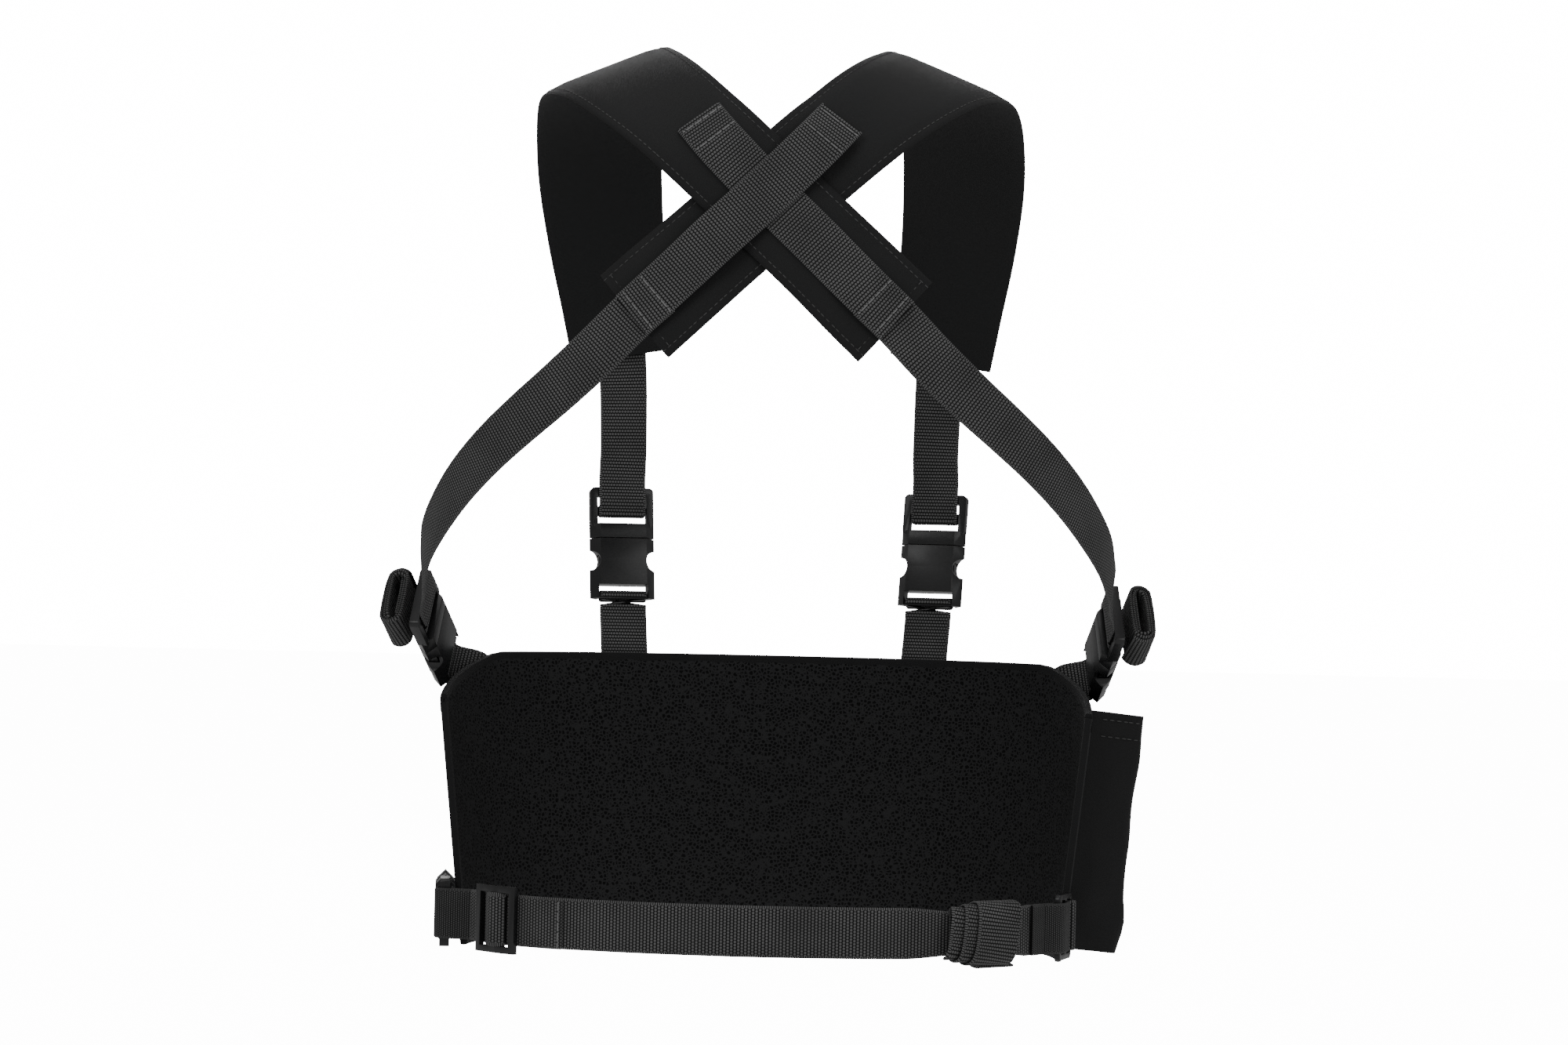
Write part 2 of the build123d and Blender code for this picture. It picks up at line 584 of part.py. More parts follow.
# ---------------------------------------------------------------- side straps
SIDE_RISE = 33.0
SIDE_SEAM = (-11.0, 141.5)      # where a side buckle's halves meet: degrees round the wearer, height
SIDE_LIFT = 7.2
STRAP_LIFT = BODY_GAP + WEB_T / 2
SIDE_RUN = ((12.0, 171.5), (22.5, 185.0), (33.0, 200.0), (43.0, 215.5), (53.0, 231.0), (62.0, 245.5),
            (71.0, 260.6), (74.5, 277.0))
SIDE_ANCHOR_RUN = ((-36.0, 111.5), (-31.5, 116.5))


def side_strap(side):
    """Strap from near a side buckle, round the ribs, to its seam on the opposite yoke's lower end."""
    points = [girth_point(angle, height, STRAP_LIFT, side) for angle, height in SIDE_RUN]
    normals = [girth_normal(angle, side) for angle, _ in SIDE_RUN]
    tucked = yoke_sections(-side)[:TUCK_STATIONS]
    over = CROSSING_LIFT if side < 0 else 0.0
    seat = YOKE_T + LAYER_GAP + WEB_T / 2
    for index, plane in enumerate(tucked):
        points.append(plane.origin + plane.x_dir * (seat + YOKE_RUN[index][3] * over))
        normals.append(plane.x_dir)
    return ribbon([(plane, -WEB_T / 2, WEB_T / 2, 0, WEB_W) for plane in run_sections(points, normals)])


def side_lead(plane, side):
    """The stretch of a side strap between its long run and the buckle's ladder bar."""
    first = buckle_section(plane, LADDER_LOOP_END + LAYER_GAP, -UNDER_FRAME)
    second = buckle_section(plane, MALE_L + 1.5, -UNDER_FRAME)
    ahead = girth_point(*SIDE_RUN[0], STRAP_LIFT, side)
    nearly = girth_point(SIDE_RUN[0][0] - 1.0, SIDE_RUN[0][1] - 1.3, STRAP_LIFT, side)
    run = (ahead - nearly).normalized()
    out = girth_normal(SIDE_RUN[0][0], side)
    last = Plane(origin=ahead - run * LAYER_GAP, x_dir=out - run * out.dot(run), z_dir=run)
    return ribbon([(section, -WEB_T / 2, WEB_T / 2, 0, WEB_W) for section in (first, second, last)])


ROLL_OUT = LOOP_HALF_T + ROLL_STEM
ROLL_MIDDLE = LADDER_MIDDLE + 1.0


def rolled_tail(plane):
    """The strap's free end: round the ladder bar, turned and rolled up on the buckle's outside."""
    section = Plane(origin=plane.origin + plane.x_dir * (ROLL_MIDDLE - WEB_W / 2)
                    + plane.z_dir * (ROLL_OUT + ROLL_T / 2), x_dir=plane.y_dir, z_dir=plane.x_dir)
    with BuildPart() as roll:
        with BuildSketch(section):
            SlotOverall(ROLL_L, ROLL_T)
            SlotOverall(ROLL_L - 2 * ROLL_WALL, ROLL_T - 2 * ROLL_WALL, mode=Mode.SUBTRACT)
        extrude(amount=WEB_W)
    stem = box_part(plane, (LADDER_MIDDLE - WEB_T / 2, LADDER_MIDDLE + WEB_T / 2), (-WEB_W / 2, WEB_W / 2),
                    (LOOP_HALF_T - 0.5, ROLL_OUT + 0.5))
    return joined(bar_loop(plane, LADDER_BAR), roll.part, stem)


for name, side in (("left", 1), ("right", -1)):
    seam = run_plane(SIDE_SEAM[0], SIDE_SEAM[1], SIDE_LIFT, SIDE_RISE, side)
    write(side_strap(side), f"side_strap_{name}")
    write(side_lead(seam, side), f"side_lead_{name}")
    write(rolled_tail(seam), f"side_tail_{name}")
    write(buckle_shell(seam), f"side_shell_{name}")
    write(buckle_tongue(seam), f"side_tongue_{name}")
    points = [girth_point(angle, height, PANEL_SEAT + WEB_T / 2, side) for angle, height in SIDE_ANCHOR_RUN]
    normals = [girth_normal(angle, side, PANEL_LEAN) for angle, _ in SIDE_ANCHOR_RUN]
    write(anchor(seam, points, normals), f"side_anchor_{name}")

# ---------------------------------------------------------------- front straps
FRONT_ANGLE = -74.4
FRONT_SEAM = PANEL_TOP + 62.0    # height where a front buckle's halves meet
FRONT_LEAN = 10.0
FRONT_LIFT = 7.0


def front_plane(side):
    """Frame of a front buckle: local X up the chest, local Z out."""
    out = girth_normal(FRONT_ANGLE, side, FRONT_LEAN)
    up = Vector(0, 0, 1)
    run = up - out * up.dot(out)
    return Plane(origin=girth_point(FRONT_ANGLE, FRONT_SEAM, FRONT_LIFT, side), x_dir=run, z_dir=out)


def front_strap(plane, side):
    """Strap from the front end of a yoke down to the buckle's ladder bar."""
    yoke = yoke_sections(side)
    seat = YOKE_T + LAYER_GAP + WEB_T / 2
    tops = [(section.origin + section.x_dir * seat, section.x_dir) for section in (yoke[-1], yoke[-2])]
    middle = girth_point(FRONT_ANGLE, 238, 4.0, side)
    start = plane.origin + plane.x_dir * LADDER_BAR[1]
    free = plane.origin + plane.x_dir * (MALE_L + 3)
    drop = plane.z_dir * UNDER_FRAME
    points = [start - drop, free - drop, middle] + [point for point, _ in tops]
    normals = [plane.z_dir, plane.z_dir, girth_normal(FRONT_ANGLE, side)] + [out for _, out in tops]
    strap = ribbon([(section, -WEB_T / 2, WEB_T / 2, 0, WEB_W) for section in run_sections(points, normals)])
    return joined(bar_loop(plane, LADDER_BAR), strap)


for name, side in (("left", 1), ("right", -1)):
    seam = front_plane(side)
    write(front_strap(seam, side), f"front_strap_{name}")
    write(buckle_shell(seam), f"front_shell_{name}")
    write(buckle_tongue(seam), f"front_tongue_{name}")
    heights = (PANEL_TOP - 8.5, PANEL_TOP - 1.0)
    points = [girth_point(FRONT_ANGLE, height, PANEL_SEAT + WEB_T / 2, side) for height in heights]
    normals = [girth_normal(FRONT_ANGLE, side, PANEL_LEAN)] * len(heights)
    write(anchor(seam, points, normals), f"front_anchor_{name}")

# ---------------------------------------------------------------- waist strap
WAIST_SEAM = 6.0                # where the left waist buckle's halves meet, degrees round the wearer
WAIST_LIFT = 9.4
RETURN_IN = BODY_GAP + WEB_T + LAYER_GAP
RETURN_END = 69.0               # free end of the returned strap
LEAD_END = 29.0                 # where the strap's moving stretches meet its fixed ones
WRAP = (36.0, 68.0)             # wrapped end of the strap, degrees round the right side
WRAP_T = 4.2
WRAP_H = 34.0
WRAP_SLACK = 0.3        # clearance between the wrap and the strap inside it
LADDER_AT = 15.5
WAIST_TAB = (-32.0, -27.0, -22.0)   # where the left anchor is sewn to the panel, degrees round the wearer
LOCK_TAB = (-1.8, 1.0, 3.8)         # the same on the right, between the side pouch and the edge


def waist_band(start, end, inner, outer, height):
    """A stretch of strap standing on edge round the waist, its middle level with the origin."""
    with BuildPart() as band:
        add(band_face(Plane.XY, start, end, inner, outer))
        extrude(amount=height / 2, both=True)
    return band.part


def waist_lead(plane, bar, frame_end, past, side):
    """The two plies of strap between the waist strap and a buckle's ladder bar, with the loop round it.

    past is how far out of the buckle's middle each ply passes its end bar, which ends at frame_end.
    """
    angle = LEAD_END - degrees(LAYER_GAP / SIDE_RADIUS)
    run = Vector(-side * sin(radians(angle)), cos(radians(angle)), 0)
    finish = Plane(origin=girth_point(angle, 0, 0, side), x_dir=girth_normal(angle, side), z_dir=run)
    plies = []
    for share, lift in ((-1, BODY_GAP), (1, RETURN_IN)):
        sections = [(buckle_section(plane, along, share * past), -WEB_T / 2, WEB_T / 2, 0, WEB_W)
                    for along in (bar[1], frame_end + 1.0)]
        plies.append(ribbon(sections + [(finish, lift, lift + WEB_T, 0, WEB_W)]))
    return joined(bar_loop(plane, bar), *plies)


write(waist_band(LEAD_END, 180 - LEAD_END, BODY_GAP, BODY_GAP + WEB_T, WEB_W), "waist_strap")
write(waist_band(LEAD_END, RETURN_END, RETURN_IN, RETURN_IN + WEB_T, WEB_W), "waist_return")

left_seam = run_plane(WAIST_SEAM, 0, WAIST_LIFT, 0)
write(buckle_shell(left_seam), "waist_shell")
write(buckle_tongue(left_seam), "waist_tongue")
write(waist_lead(left_seam, LADDER_BAR, MALE_L, UNDER_FRAME, 1), "waist_lead_left")
points = [girth_point(angle, 0, PANEL_SEAT + WEB_T / 2) for angle in WAIST_TAB]
normals = [girth_normal(angle, 1, PANEL_LEAN) for angle in WAIST_TAB]
write(anchor(left_seam, points, normals), "waist_anchor_left")

# Tri-glide: a curved frame with a middle bar, on the returned strap
GLIDE_IN = RETURN_IN + WEB_T + LAYER_GAP
GLIDE_HALF = degrees(GLIDE_L / 2 / (SIDE_RADIUS + GLIDE_IN))
BAR_HALF = degrees(GLIDE_BAR / 2 / (SIDE_RADIUS + GLIDE_IN))
with BuildPart() as glide:
    add(waist_band(GLIDE_AT - GLIDE_HALF, GLIDE_AT + GLIDE_HALF, GLIDE_IN, GLIDE_IN + GLIDE_T, GLIDE_H))
    rim = degrees(GLIDE_RIM / (SIDE_RADIUS + GLIDE_IN))
    for low, high in ((GLIDE_AT - GLIDE_HALF + rim, GLIDE_AT - BAR_HALF),
                      (GLIDE_AT + BAR_HALF, GLIDE_AT + GLIDE_HALF - rim)):
        add(waist_band(low, high, GLIDE_IN - 1, GLIDE_IN + GLIDE_T + 1, WEB_W + SLOT_GAP), mode=Mode.SUBTRACT)
write(glide.part, "triglide")
hump_in = GLIDE_IN + GLIDE_T + LAYER_GAP
hump_half = BAR_HALF + degrees((LAYER_GAP + WEB_T) / (SIDE_RADIUS + hump_in))
with BuildPart() as hump:
    add(waist_band(GLIDE_AT - hump_half, GLIDE_AT + hump_half, GLIDE_IN, hump_in + WEB_T, WEB_W))
    leg = degrees(WEB_T / (SIDE_RADIUS + hump_in))
    add(waist_band(GLIDE_AT - hump_half + leg, GLIDE_AT + hump_half - leg, GLIDE_IN - 1, hump_in, WEB_W + 2),
        mode=Mode.SUBTRACT)
write(hump.part, "triglide_webbing")

# Ladder lock and wrapped strap end on the wearer's right
LOCK_BARS = ((-11.5, -8.6), (-1.6, 1.8), (8.2, 12.0))
LOCK_SLACK = 0.9                # clearance round the bar that the ladder lock tips on
LOCK_LIFT = BODY_GAP + WEB_T + LAYER_GAP + BAR_T / 2 + 1.2
lock_plane = run_plane(LADDER_AT, 0, LOCK_LIFT, 0, -1)
with BuildPart() as lock:
    with BuildSketch(lock_plane.offset(-BAR_T / 2)):
        with Locations(((LOCK_BARS[0][0] + LOCK_BARS[2][1]) / 2, 0)):
            RectangleRounded(LOCK_BARS[2][1] - LOCK_BARS[0][0], BUCKLE_W - 2, 3)
        for near, far in zip(LOCK_BARS, LOCK_BARS[1:]):
            with Locations(((near[1] + far[0]) / 2, 0)):
                Rectangle(far[0] - near[1], SLOT_W, mode=Mode.SUBTRACT)
    extrude(amount=BAR_T)
write(lock.part, "waist_ladder_lock")
past_lock = BAR_T / 2 + LAYER_GAP + WEB_T / 2
write(waist_lead(lock_plane, LOCK_BARS[1], LOCK_BARS[2][1], past_lock, -1), "waist_lead_right")
lock_loop_end = LOCK_BARS[0][0] - LOCK_SLACK - WEB_T
points = [girth_point(angle, 0, PANEL_SEAT + WEB_T / 2, -1) for angle in LOCK_TAB]
sections = run_sections(points, [girth_normal(angle, -1, PANEL_LEAN) for angle in LOCK_TAB])
tab = [(section, -WEB_T / 2, WEB_T / 2, 0, WEB_W) for section in sections]
for along in (lock_loop_end - 1.0, lock_loop_end + WEB_T / 2):
    tab.append((buckle_section(lock_plane, along, 0), -WEB_T / 2, WEB_T / 2, 0, WEB_W))
write(joined(bar_loop(lock_plane, LOCK_BARS[0], LOCK_SLACK), ribbon(tab)), "waist_anchor_right")

with BuildPart() as wrap:
    wrap_in, wrap_out = BODY_GAP - WRAP_SLACK, BODY_GAP + WEB_T + WRAP_SLACK
    add(waist_band(180 - WRAP[1], 180 - WRAP[0], wrap_in - WRAP_T, wrap_out + WRAP_T, WRAP_H))
    add(waist_band(180 - WRAP[1] - 3, 180 - WRAP[0] + 3, wrap_in, wrap_out, WEB_W + 2 * LAYER_GAP),
        mode=Mode.SUBTRACT)
write(wrap.part, "waist_wrap")
tail_from = 180 - WRAP[0] + WRAP_SLACK
write(waist_band(tail_from, 180 - LEAD_END, RETURN_IN, RETURN_IN + WEB_T, WEB_W), "waist_tail_right")
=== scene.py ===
"""Chest rig on crossed shoulder yokes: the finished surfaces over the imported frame."""

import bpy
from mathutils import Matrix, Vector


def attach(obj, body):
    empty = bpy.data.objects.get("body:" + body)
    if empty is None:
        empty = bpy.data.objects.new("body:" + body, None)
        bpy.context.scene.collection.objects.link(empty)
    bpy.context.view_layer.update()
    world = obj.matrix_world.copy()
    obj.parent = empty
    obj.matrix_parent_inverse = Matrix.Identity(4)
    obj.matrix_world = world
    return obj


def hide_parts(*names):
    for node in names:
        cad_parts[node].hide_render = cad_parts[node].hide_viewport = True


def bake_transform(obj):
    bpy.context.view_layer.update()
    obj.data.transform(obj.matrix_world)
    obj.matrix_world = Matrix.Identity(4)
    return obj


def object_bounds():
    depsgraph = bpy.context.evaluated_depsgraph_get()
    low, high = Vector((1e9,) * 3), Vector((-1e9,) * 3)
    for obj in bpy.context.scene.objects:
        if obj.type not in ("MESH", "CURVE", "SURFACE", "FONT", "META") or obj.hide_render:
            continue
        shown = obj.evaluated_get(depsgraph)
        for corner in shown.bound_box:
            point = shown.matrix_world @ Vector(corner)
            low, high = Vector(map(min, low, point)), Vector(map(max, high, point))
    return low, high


bl_info = {
    "name": "Chest rig maker",
    "version": (1, 0, 0),
    "blender": (4, 5, 0),
    "location": "View3D > Sidebar > Chest rig",
    "description": "Makes the webbing, yokes, pockets and buckles of a chest rig",
    "category": "Add Mesh",
}

from math import atan2, ceil, copysign, cos, degrees, pi, radians, sin, sqrt

import bmesh
import bpy
from mathutils import Matrix, Vector, noise

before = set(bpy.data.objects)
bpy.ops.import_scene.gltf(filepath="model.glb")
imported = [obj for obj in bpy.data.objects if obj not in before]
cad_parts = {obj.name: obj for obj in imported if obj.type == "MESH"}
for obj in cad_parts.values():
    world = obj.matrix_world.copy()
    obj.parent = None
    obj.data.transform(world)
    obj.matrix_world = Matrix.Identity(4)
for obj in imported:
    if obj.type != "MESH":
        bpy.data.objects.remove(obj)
CAD_BOX = [list(corner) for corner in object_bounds()]
MM = 0.001

# ------------------------------------------------------------ sizes shared with the frame, in millimetres
WEB_T = 1.4
LAYER_GAP = 0.4
SIDE_CENTRE, SIDE_RADIUS = 60.0, 88.0
FLAT_CENTRE, FLAT_RADIUS = 175.0, 273.0
JOIN_ANGLE = degrees(atan2(FLAT_CENTRE, SIDE_CENTRE))
PANEL_BOTTOM, PANEL_TOP, WING_TOP = -17.0, 125.0, 103.0
WING_START_Y = -66.0
LEFT_EDGE, RIGHT_EDGE = -3.0, 4.0
FLARES = ((-60.0, -4.54), (125.0, 15.0), (180.0, 27.0), (230.0, 31.0), (300.0, 30.0), (500.0, 30.0))
PANEL_LEAN = degrees(atan2(15.0, 142.0))
PANEL_SEAT, PANEL_FACE = 4.6, 3.6
YOKE_T = 3.1
CROSSING_LIFT = YOKE_T + LAYER_GAP
YOKE_TUCK = 1.8
BAR_T, FRAME_T = 3.2, 5.0
LADDER_BAR, ANCHOR_BAR = (13.4, 16.8), (-32.0, -29.3)
TONGUE_L = 27.5
UNDER_FRAME = FRAME_T / 2 + LAYER_GAP + WEB_T / 2
SIDE_SEAM, SIDE_RISE, SIDE_LIFT = (-11.0, 141.5), 33.0, 7.2
SIDE_RUN = ((12.0, 171.5), (22.5, 185.0), (33.0, 200.0), (43.0, 215.5), (53.0, 231.0), (62.0, 245.5),
            (71.0, 260.6), (74.5, 277.0))
STRAP_LIFT = 1.7
ROLL_L, ROLL_T, ROLL_MIDDLE, ROLL_OUT = 34.0, 15.0, 16.1, 5.2
FRONT_ANGLE, FRONT_SEAM, FRONT_LEAN, FRONT_LIFT = -74.4, 187.0, 10.0, 7.0
WAIST_SEAM, WAIST_LIFT, LEAD_END, TAIL_END = 6.0, 9.4, 29.0, 35.7
RETURN_IN, RETURN_END = 2.8, 69.0
GLIDE_AT = 45.0
WRAP_FROM, WRAP_TO, WRAP_PITCH = 63.0, 52.0, 1.5
LADDER_AT, LOCK_LIFT = 15.5, 5.6
LOCK_BARS = ((-11.5, -8.6), (-1.6, 1.8), (8.2, 12.0))
POUCH_W, POUCH_DEPTH, POUCH_TOP = 88.0, 26.0, 124.0
POUCH_SPACE, SEAT_HEIGHT = 8.5, -14.0
FLAP_DROP, FLAP_HINGE = 65.0, 5.5
SIDE_POUCH_AT, SIDE_POUCH_W, SIDE_POUCH_DEPTH, SIDE_POUCH_H = -21.2, 60.0, 27.0, 121.0
BACK_Y, BACK_Z, BACK_LEAN = 110.0, 353.0, 10.0


def on_back(z):
    """Depth of the flat of the upper back at a height."""
    return BACK_Y - (z - BACK_Z) * sin(radians(BACK_LEAN)) / cos(radians(BACK_LEAN))


BACK_OUT = (0.0, cos(radians(BACK_LEAN)), sin(radians(BACK_LEAN)))
YOKE_RUN = (
    ((-62.5, 114.5, 295.3), (-0.18, 0.97, 0.12), 53.5, 0.0),
    ((-50.0, on_back(306.8) - 2.0, 306.8), (-0.12, 0.975, 0.15), 53.0, 0.15),
    ((-37.0, on_back(318.8) - 1.0, 318.8), (-0.06, 0.98, 0.17), 52.0, 0.6),
    ((-24.0, on_back(330.8), 330.8), BACK_OUT, 51.0, 1.0),
    ((0.0, BACK_Y, BACK_Z), BACK_OUT, 51.0, 1.0),
    ((24.0, on_back(375.2), 375.2), BACK_OUT, 51.0, 1.0),
    ((37.5, 101.0, 387.0), (0.05, 0.93, 0.36), 52.0, 0.6),
    ((50.0, 92.5, 398.0), (0.12, 0.84, 0.53), 54.0, 0.2),
    ((64.0, 76.0, 409.0), (0.2, 0.65, 0.73), 58.0, 0.0),
    ((76.0, 54.0, 417.0), (0.3, 0.36, 0.88), 62.0, 0.0),
    ((85.0, 28.0, 420.5), (0.38, 0.08, 0.92), 66.0, 0.0),
    ((90.0, -4.0, 416.5), (0.38, -0.3, 0.87), 67.0, 0.0),
    ((93.0, -38.0, 401.0), (0.34, -0.6, 0.72), 67.0, 0.0),
    ((94.0, -67.0, 375.0), (0.26, -0.82, 0.5), 65.0, 0.0),
    ((92.0, -90.0, 344.0), (0.2, -0.92, 0.33), 61.0, 0.0),
    ((88.0, -106.0, 313.0), (0.14, -0.965, 0.2), 57.0, 0.0),
    ((84.0, -116.5, 284.0), (0.1, -0.985, 0.1), 54.0, 0.0),
)
WEBBING_SHIFT = (0.0, 0.0, 0.5, 1.0, 1.5, 3.0, 5.0)


# ------------------------------------------------------------ the wearer's form, in millimetres
def flare(height):
    """How far the form stands outside the waist oval at a height."""
    for (low, low_flare), (high, high_flare) in zip(FLARES, FLARES[1:]):
        if height <= high:
            return low_flare + (high_flare - low_flare) * (height - low) / (high - low)
    return FLARES[-1][1]


def form_point(angle, height, lift, side=1):
    """A point a lift outside the form, by the angle of its outward direction."""
    across, along = cos(radians(angle)), sin(radians(angle))
    if abs(across) >= cos(radians(JOIN_ANGLE)):
        x, y, radius = (SIDE_CENTRE if across > 0 else -SIDE_CENTRE), 0.0, SIDE_RADIUS
    else:
        x, y, radius = 0.0, (-FLAT_CENTRE if along > 0 else FLAT_CENTRE), FLAT_RADIUS
    reach = radius + flare(height) + lift
    return Vector((side * (x + reach * across), y + reach * along, height))


def form_out(angle, side=1, lean=0.0):
    """The way out of the form at an angle, turned down by a lean."""
    level = Vector((side * cos(radians(angle)), sin(radians(angle)), 0))
    return level * cos(radians(lean)) - Vector((0, 0, sin(radians(lean))))


def lift_of(point):
    """How far a point stands outside the form."""
    x, y = abs(point.x), abs(point.y)
    if atan2(y, max(x - SIDE_CENTRE, 1e-9)) <= radians(JOIN_ANGLE) and x > SIDE_CENTRE:
        return sqrt((x - SIDE_CENTRE) ** 2 + y * y) - SIDE_RADIUS - flare(point.z)
    return sqrt(x * x + (y + FLAT_CENTRE) ** 2) - FLAT_RADIUS - flare(point.z)


class Seat:
    """A flat place on the rig: right, up and out directions from an origin, in millimetres."""

    def __init__(self, origin, right, out):
        self.origin = Vector(origin)
        self.right, self.out = Vector(right).normalized(), Vector(out).normalized()
        self.up = self.out.cross(self.right)

    def at(self, x, y, z):
        return self.origin + self.right * x + self.up * y + self.out * z

    def way(self, x, y, z):
        return self.right * x + self.up * y + self.out * z


def run_seat(angle, height, lift, rise, side=1, lean=0.0):
    """A seat on the form whose right runs towards the back and up by a rise."""
    out = form_out(angle, side, lean)
    level = Vector((-side * sin(radians(angle)), cos(radians(angle)), 0))
    up = out.cross(level) * side
    right = level * cos(radians(rise)) + up * sin(radians(rise))
    return Seat(form_point(angle, height, lift, side), right, out)


def pouch_seat(angle, side=1):
    """A seat for a pouch: right is level, up is up the panel."""
    out = form_out(angle, side, PANEL_LEAN)
    level = Vector((-side * sin(radians(angle)), cos(radians(angle)), 0)) * side
    return Seat(form_point(angle, SEAT_HEIGHT, PANEL_SEAT, side), level, out)


def front_pouch_seats():
    """The seats of the three flapped pouches."""
    half = degrees(POUCH_W / 2 / FLAT_RADIUS)
    flat = 90 - JOIN_ANGLE - half - degrees(POUCH_SPACE / FLAT_RADIUS)
    wrap = degrees((POUCH_W - radians(flat) * FLAT_RADIUS) / (SIDE_RADIUS + 7.5))
    near = form_point(-JOIN_ANGLE - flat, SEAT_HEIGHT, PANEL_SEAT)
    far = form_point(-JOIN_ANGLE + wrap, SEAT_HEIGHT, PANEL_SEAT)
    angle = degrees(atan2(far.y - near.y, far.x - near.x)) - 90
    middle = (near + far) / 2
    seats = {"centre": pouch_seat(-90)}
    for place, side in (("left", 1), ("right", -1)):
        seat = pouch_seat(angle, side)
        goal = Vector((side * middle.x, middle.y, middle.z))
        shift = seat.right * (goal - seat.origin).dot(seat.right)
        seats[place] = Seat(seat.origin + shift, seat.right, seat.out)
    return seats


# ------------------------------------------------------------ shaping helpers
def through(stations, step=3.0):
    """Stations on a smooth curve through the given ones; each is (point, out, width, thickness)."""
    rows = [list(point) + list(out) + list(sizes) for point, out, *sizes in stations]
    marks = [0.0]
    for before, after in zip(rows, rows[1:]):
        marks.append(marks[-1] + max(1e-3, (Vector(after[:3]) - Vector(before[:3])).length))
    last = len(rows) - 1
    slopes = []
    for index in range(last + 1):
        low, high = max(index - 1, 0), min(index + 1, last)
        slopes.append([(b - a) / (marks[high] - marks[low]) for a, b in zip(rows[low], rows[high])])
    made = []
    for index in range(last):
        gap = marks[index + 1] - marks[index]
        count = max(1, ceil(gap / step))
        for part in range(count):
            t = part / count
            start, end = rows[index], rows[index + 1]
            values = [(2 * t**3 - 3 * t**2 + 1) * a + (t**3 - 2 * t**2 + t) * gap * p
                      + (3 * t**2 - 2 * t**3) * b + (t**3 - t**2) * gap * q
                      for a, b, p, q in zip(start, end, slopes[index], slopes[index + 1])]
            made.append(values)
    made.append(rows[-1])
    return [(Vector(row[:3]), Vector(row[3:6]), *row[6:]) for row in made]


def section_frames(stations):
    """A matrix at each station: local X across, local Y out, local Z along, in metres."""
    points = [station[0] for station in stations]
    frames = []
    for index, (point, out, *sizes) in enumerate(stations):
        before, after = points[max(index - 1, 0)], points[min(index + 1, len(points) - 1)]
        along = (after - before).normalized()
        out = (out - along * out.dot(along)).normalized()
        across = out.cross(along)
        width = sizes[0] if sizes else 1.0
        thickness = sizes[1] if len(sizes) > 1 else 1.0
        columns = Matrix((across * width, out * thickness, along)).transposed().to_4x4()
        columns.translation = point * MM
        frames.append(columns)
    return frames


def across_and_out(place):
    """The directions across and out at one of the section frames."""
    return tuple(Vector(place.col[axis][:3]).normalized() for axis in (0, 1))


def sweep_mesh(bm, stations, profile, closed=True):
    """Draws a profile along stations by extruding its edges from one to the next."""
    along = bm.verts.layers.float.get("along") or bm.verts.layers.float.new("along")
    across = bm.verts.layers.float.get("across") or bm.verts.layers.float.new("across")
    frames = section_frames(stations)
    ring = []
    for x, y in profile:
        vert = bm.verts.new((x * MM, y * MM, 0))
        vert[across] = x * MM
        ring.append(vert)
    edges = [bm.edges.new(pair) for pair in zip(ring, ring[1:] + ring[:1] if closed else ring[1:])]
    first = list(edges)
    bmesh.ops.transform(bm, matrix=frames[0], verts=ring)
    travelled = 0.0
    for before, after in zip(frames, frames[1:]):
        travelled += (after.translation - before.translation).length
        grown = bmesh.ops.extrude_edge_only(bm, edges=edges)["geom"]
        verts = [item for item in grown if isinstance(item, bmesh.types.BMVert)]
        edges = [item for item in grown if isinstance(item, bmesh.types.BMEdge) and item.is_boundary]
        bmesh.ops.transform(bm, matrix=after @ before.inverted(), verts=verts)
        for vert in verts:
            vert[along] = travelled
    if closed:
        for rim in (first, edges):
            bmesh.ops.edgeloop_fill(bm, edges=rim)
    return travelled


def flat_profile(width, thickness, crown=0.0):
    """A strip's cross-section with soft edges."""
    half, t = width / 2, thickness / 2
    side = [(half - 0.9, t), (half - 0.25, t * 0.62), (half, 0), (half - 0.25, -t * 0.62), (half - 0.9, -t)]
    top = [(-half / 3, t + crown), (half / 3, t + crown)]
    return top + side + [(-x, -y) for x, y in top] + [(-x, -y) for x, y in side]


def finish_piece(name, bm, material, body=None, replaces=(), smooth=40, recalc=True):
    """Turns a bmesh into a named piece with its material and body."""
    if recalc:
        bmesh.ops.recalc_face_normals(bm, faces=bm.faces)
    mesh = bpy.data.meshes.new(name)
    bm.to_mesh(mesh)
    bm.free()
    mesh.polygons.foreach_set("use_smooth", [True] * len(mesh.polygons))
    mesh.set_sharp_from_angle(angle=radians(smooth))
    mesh.materials.append(material)
    piece = bpy.data.objects.new(name, mesh)
    bpy.context.scene.collection.objects.link(piece)
    if body:
        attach(piece, body)
    if replaces:
        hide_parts(*replaces)
    return piece


def strap(name, stations, body="rig", replaces=(), width=25.0, thickness=WEB_T, step=3.0, extra=(),
          material="webbing"):
    """A webbing strap along stations; extra holds further runs sewn to it."""
    bm = bmesh.new()
    for run in (stations, *extra):
        sweep_mesh(bm, through(run, step), flat_profile(width, thickness))
    return finish_piece(name, bm, finish_named(material), body, replaces)


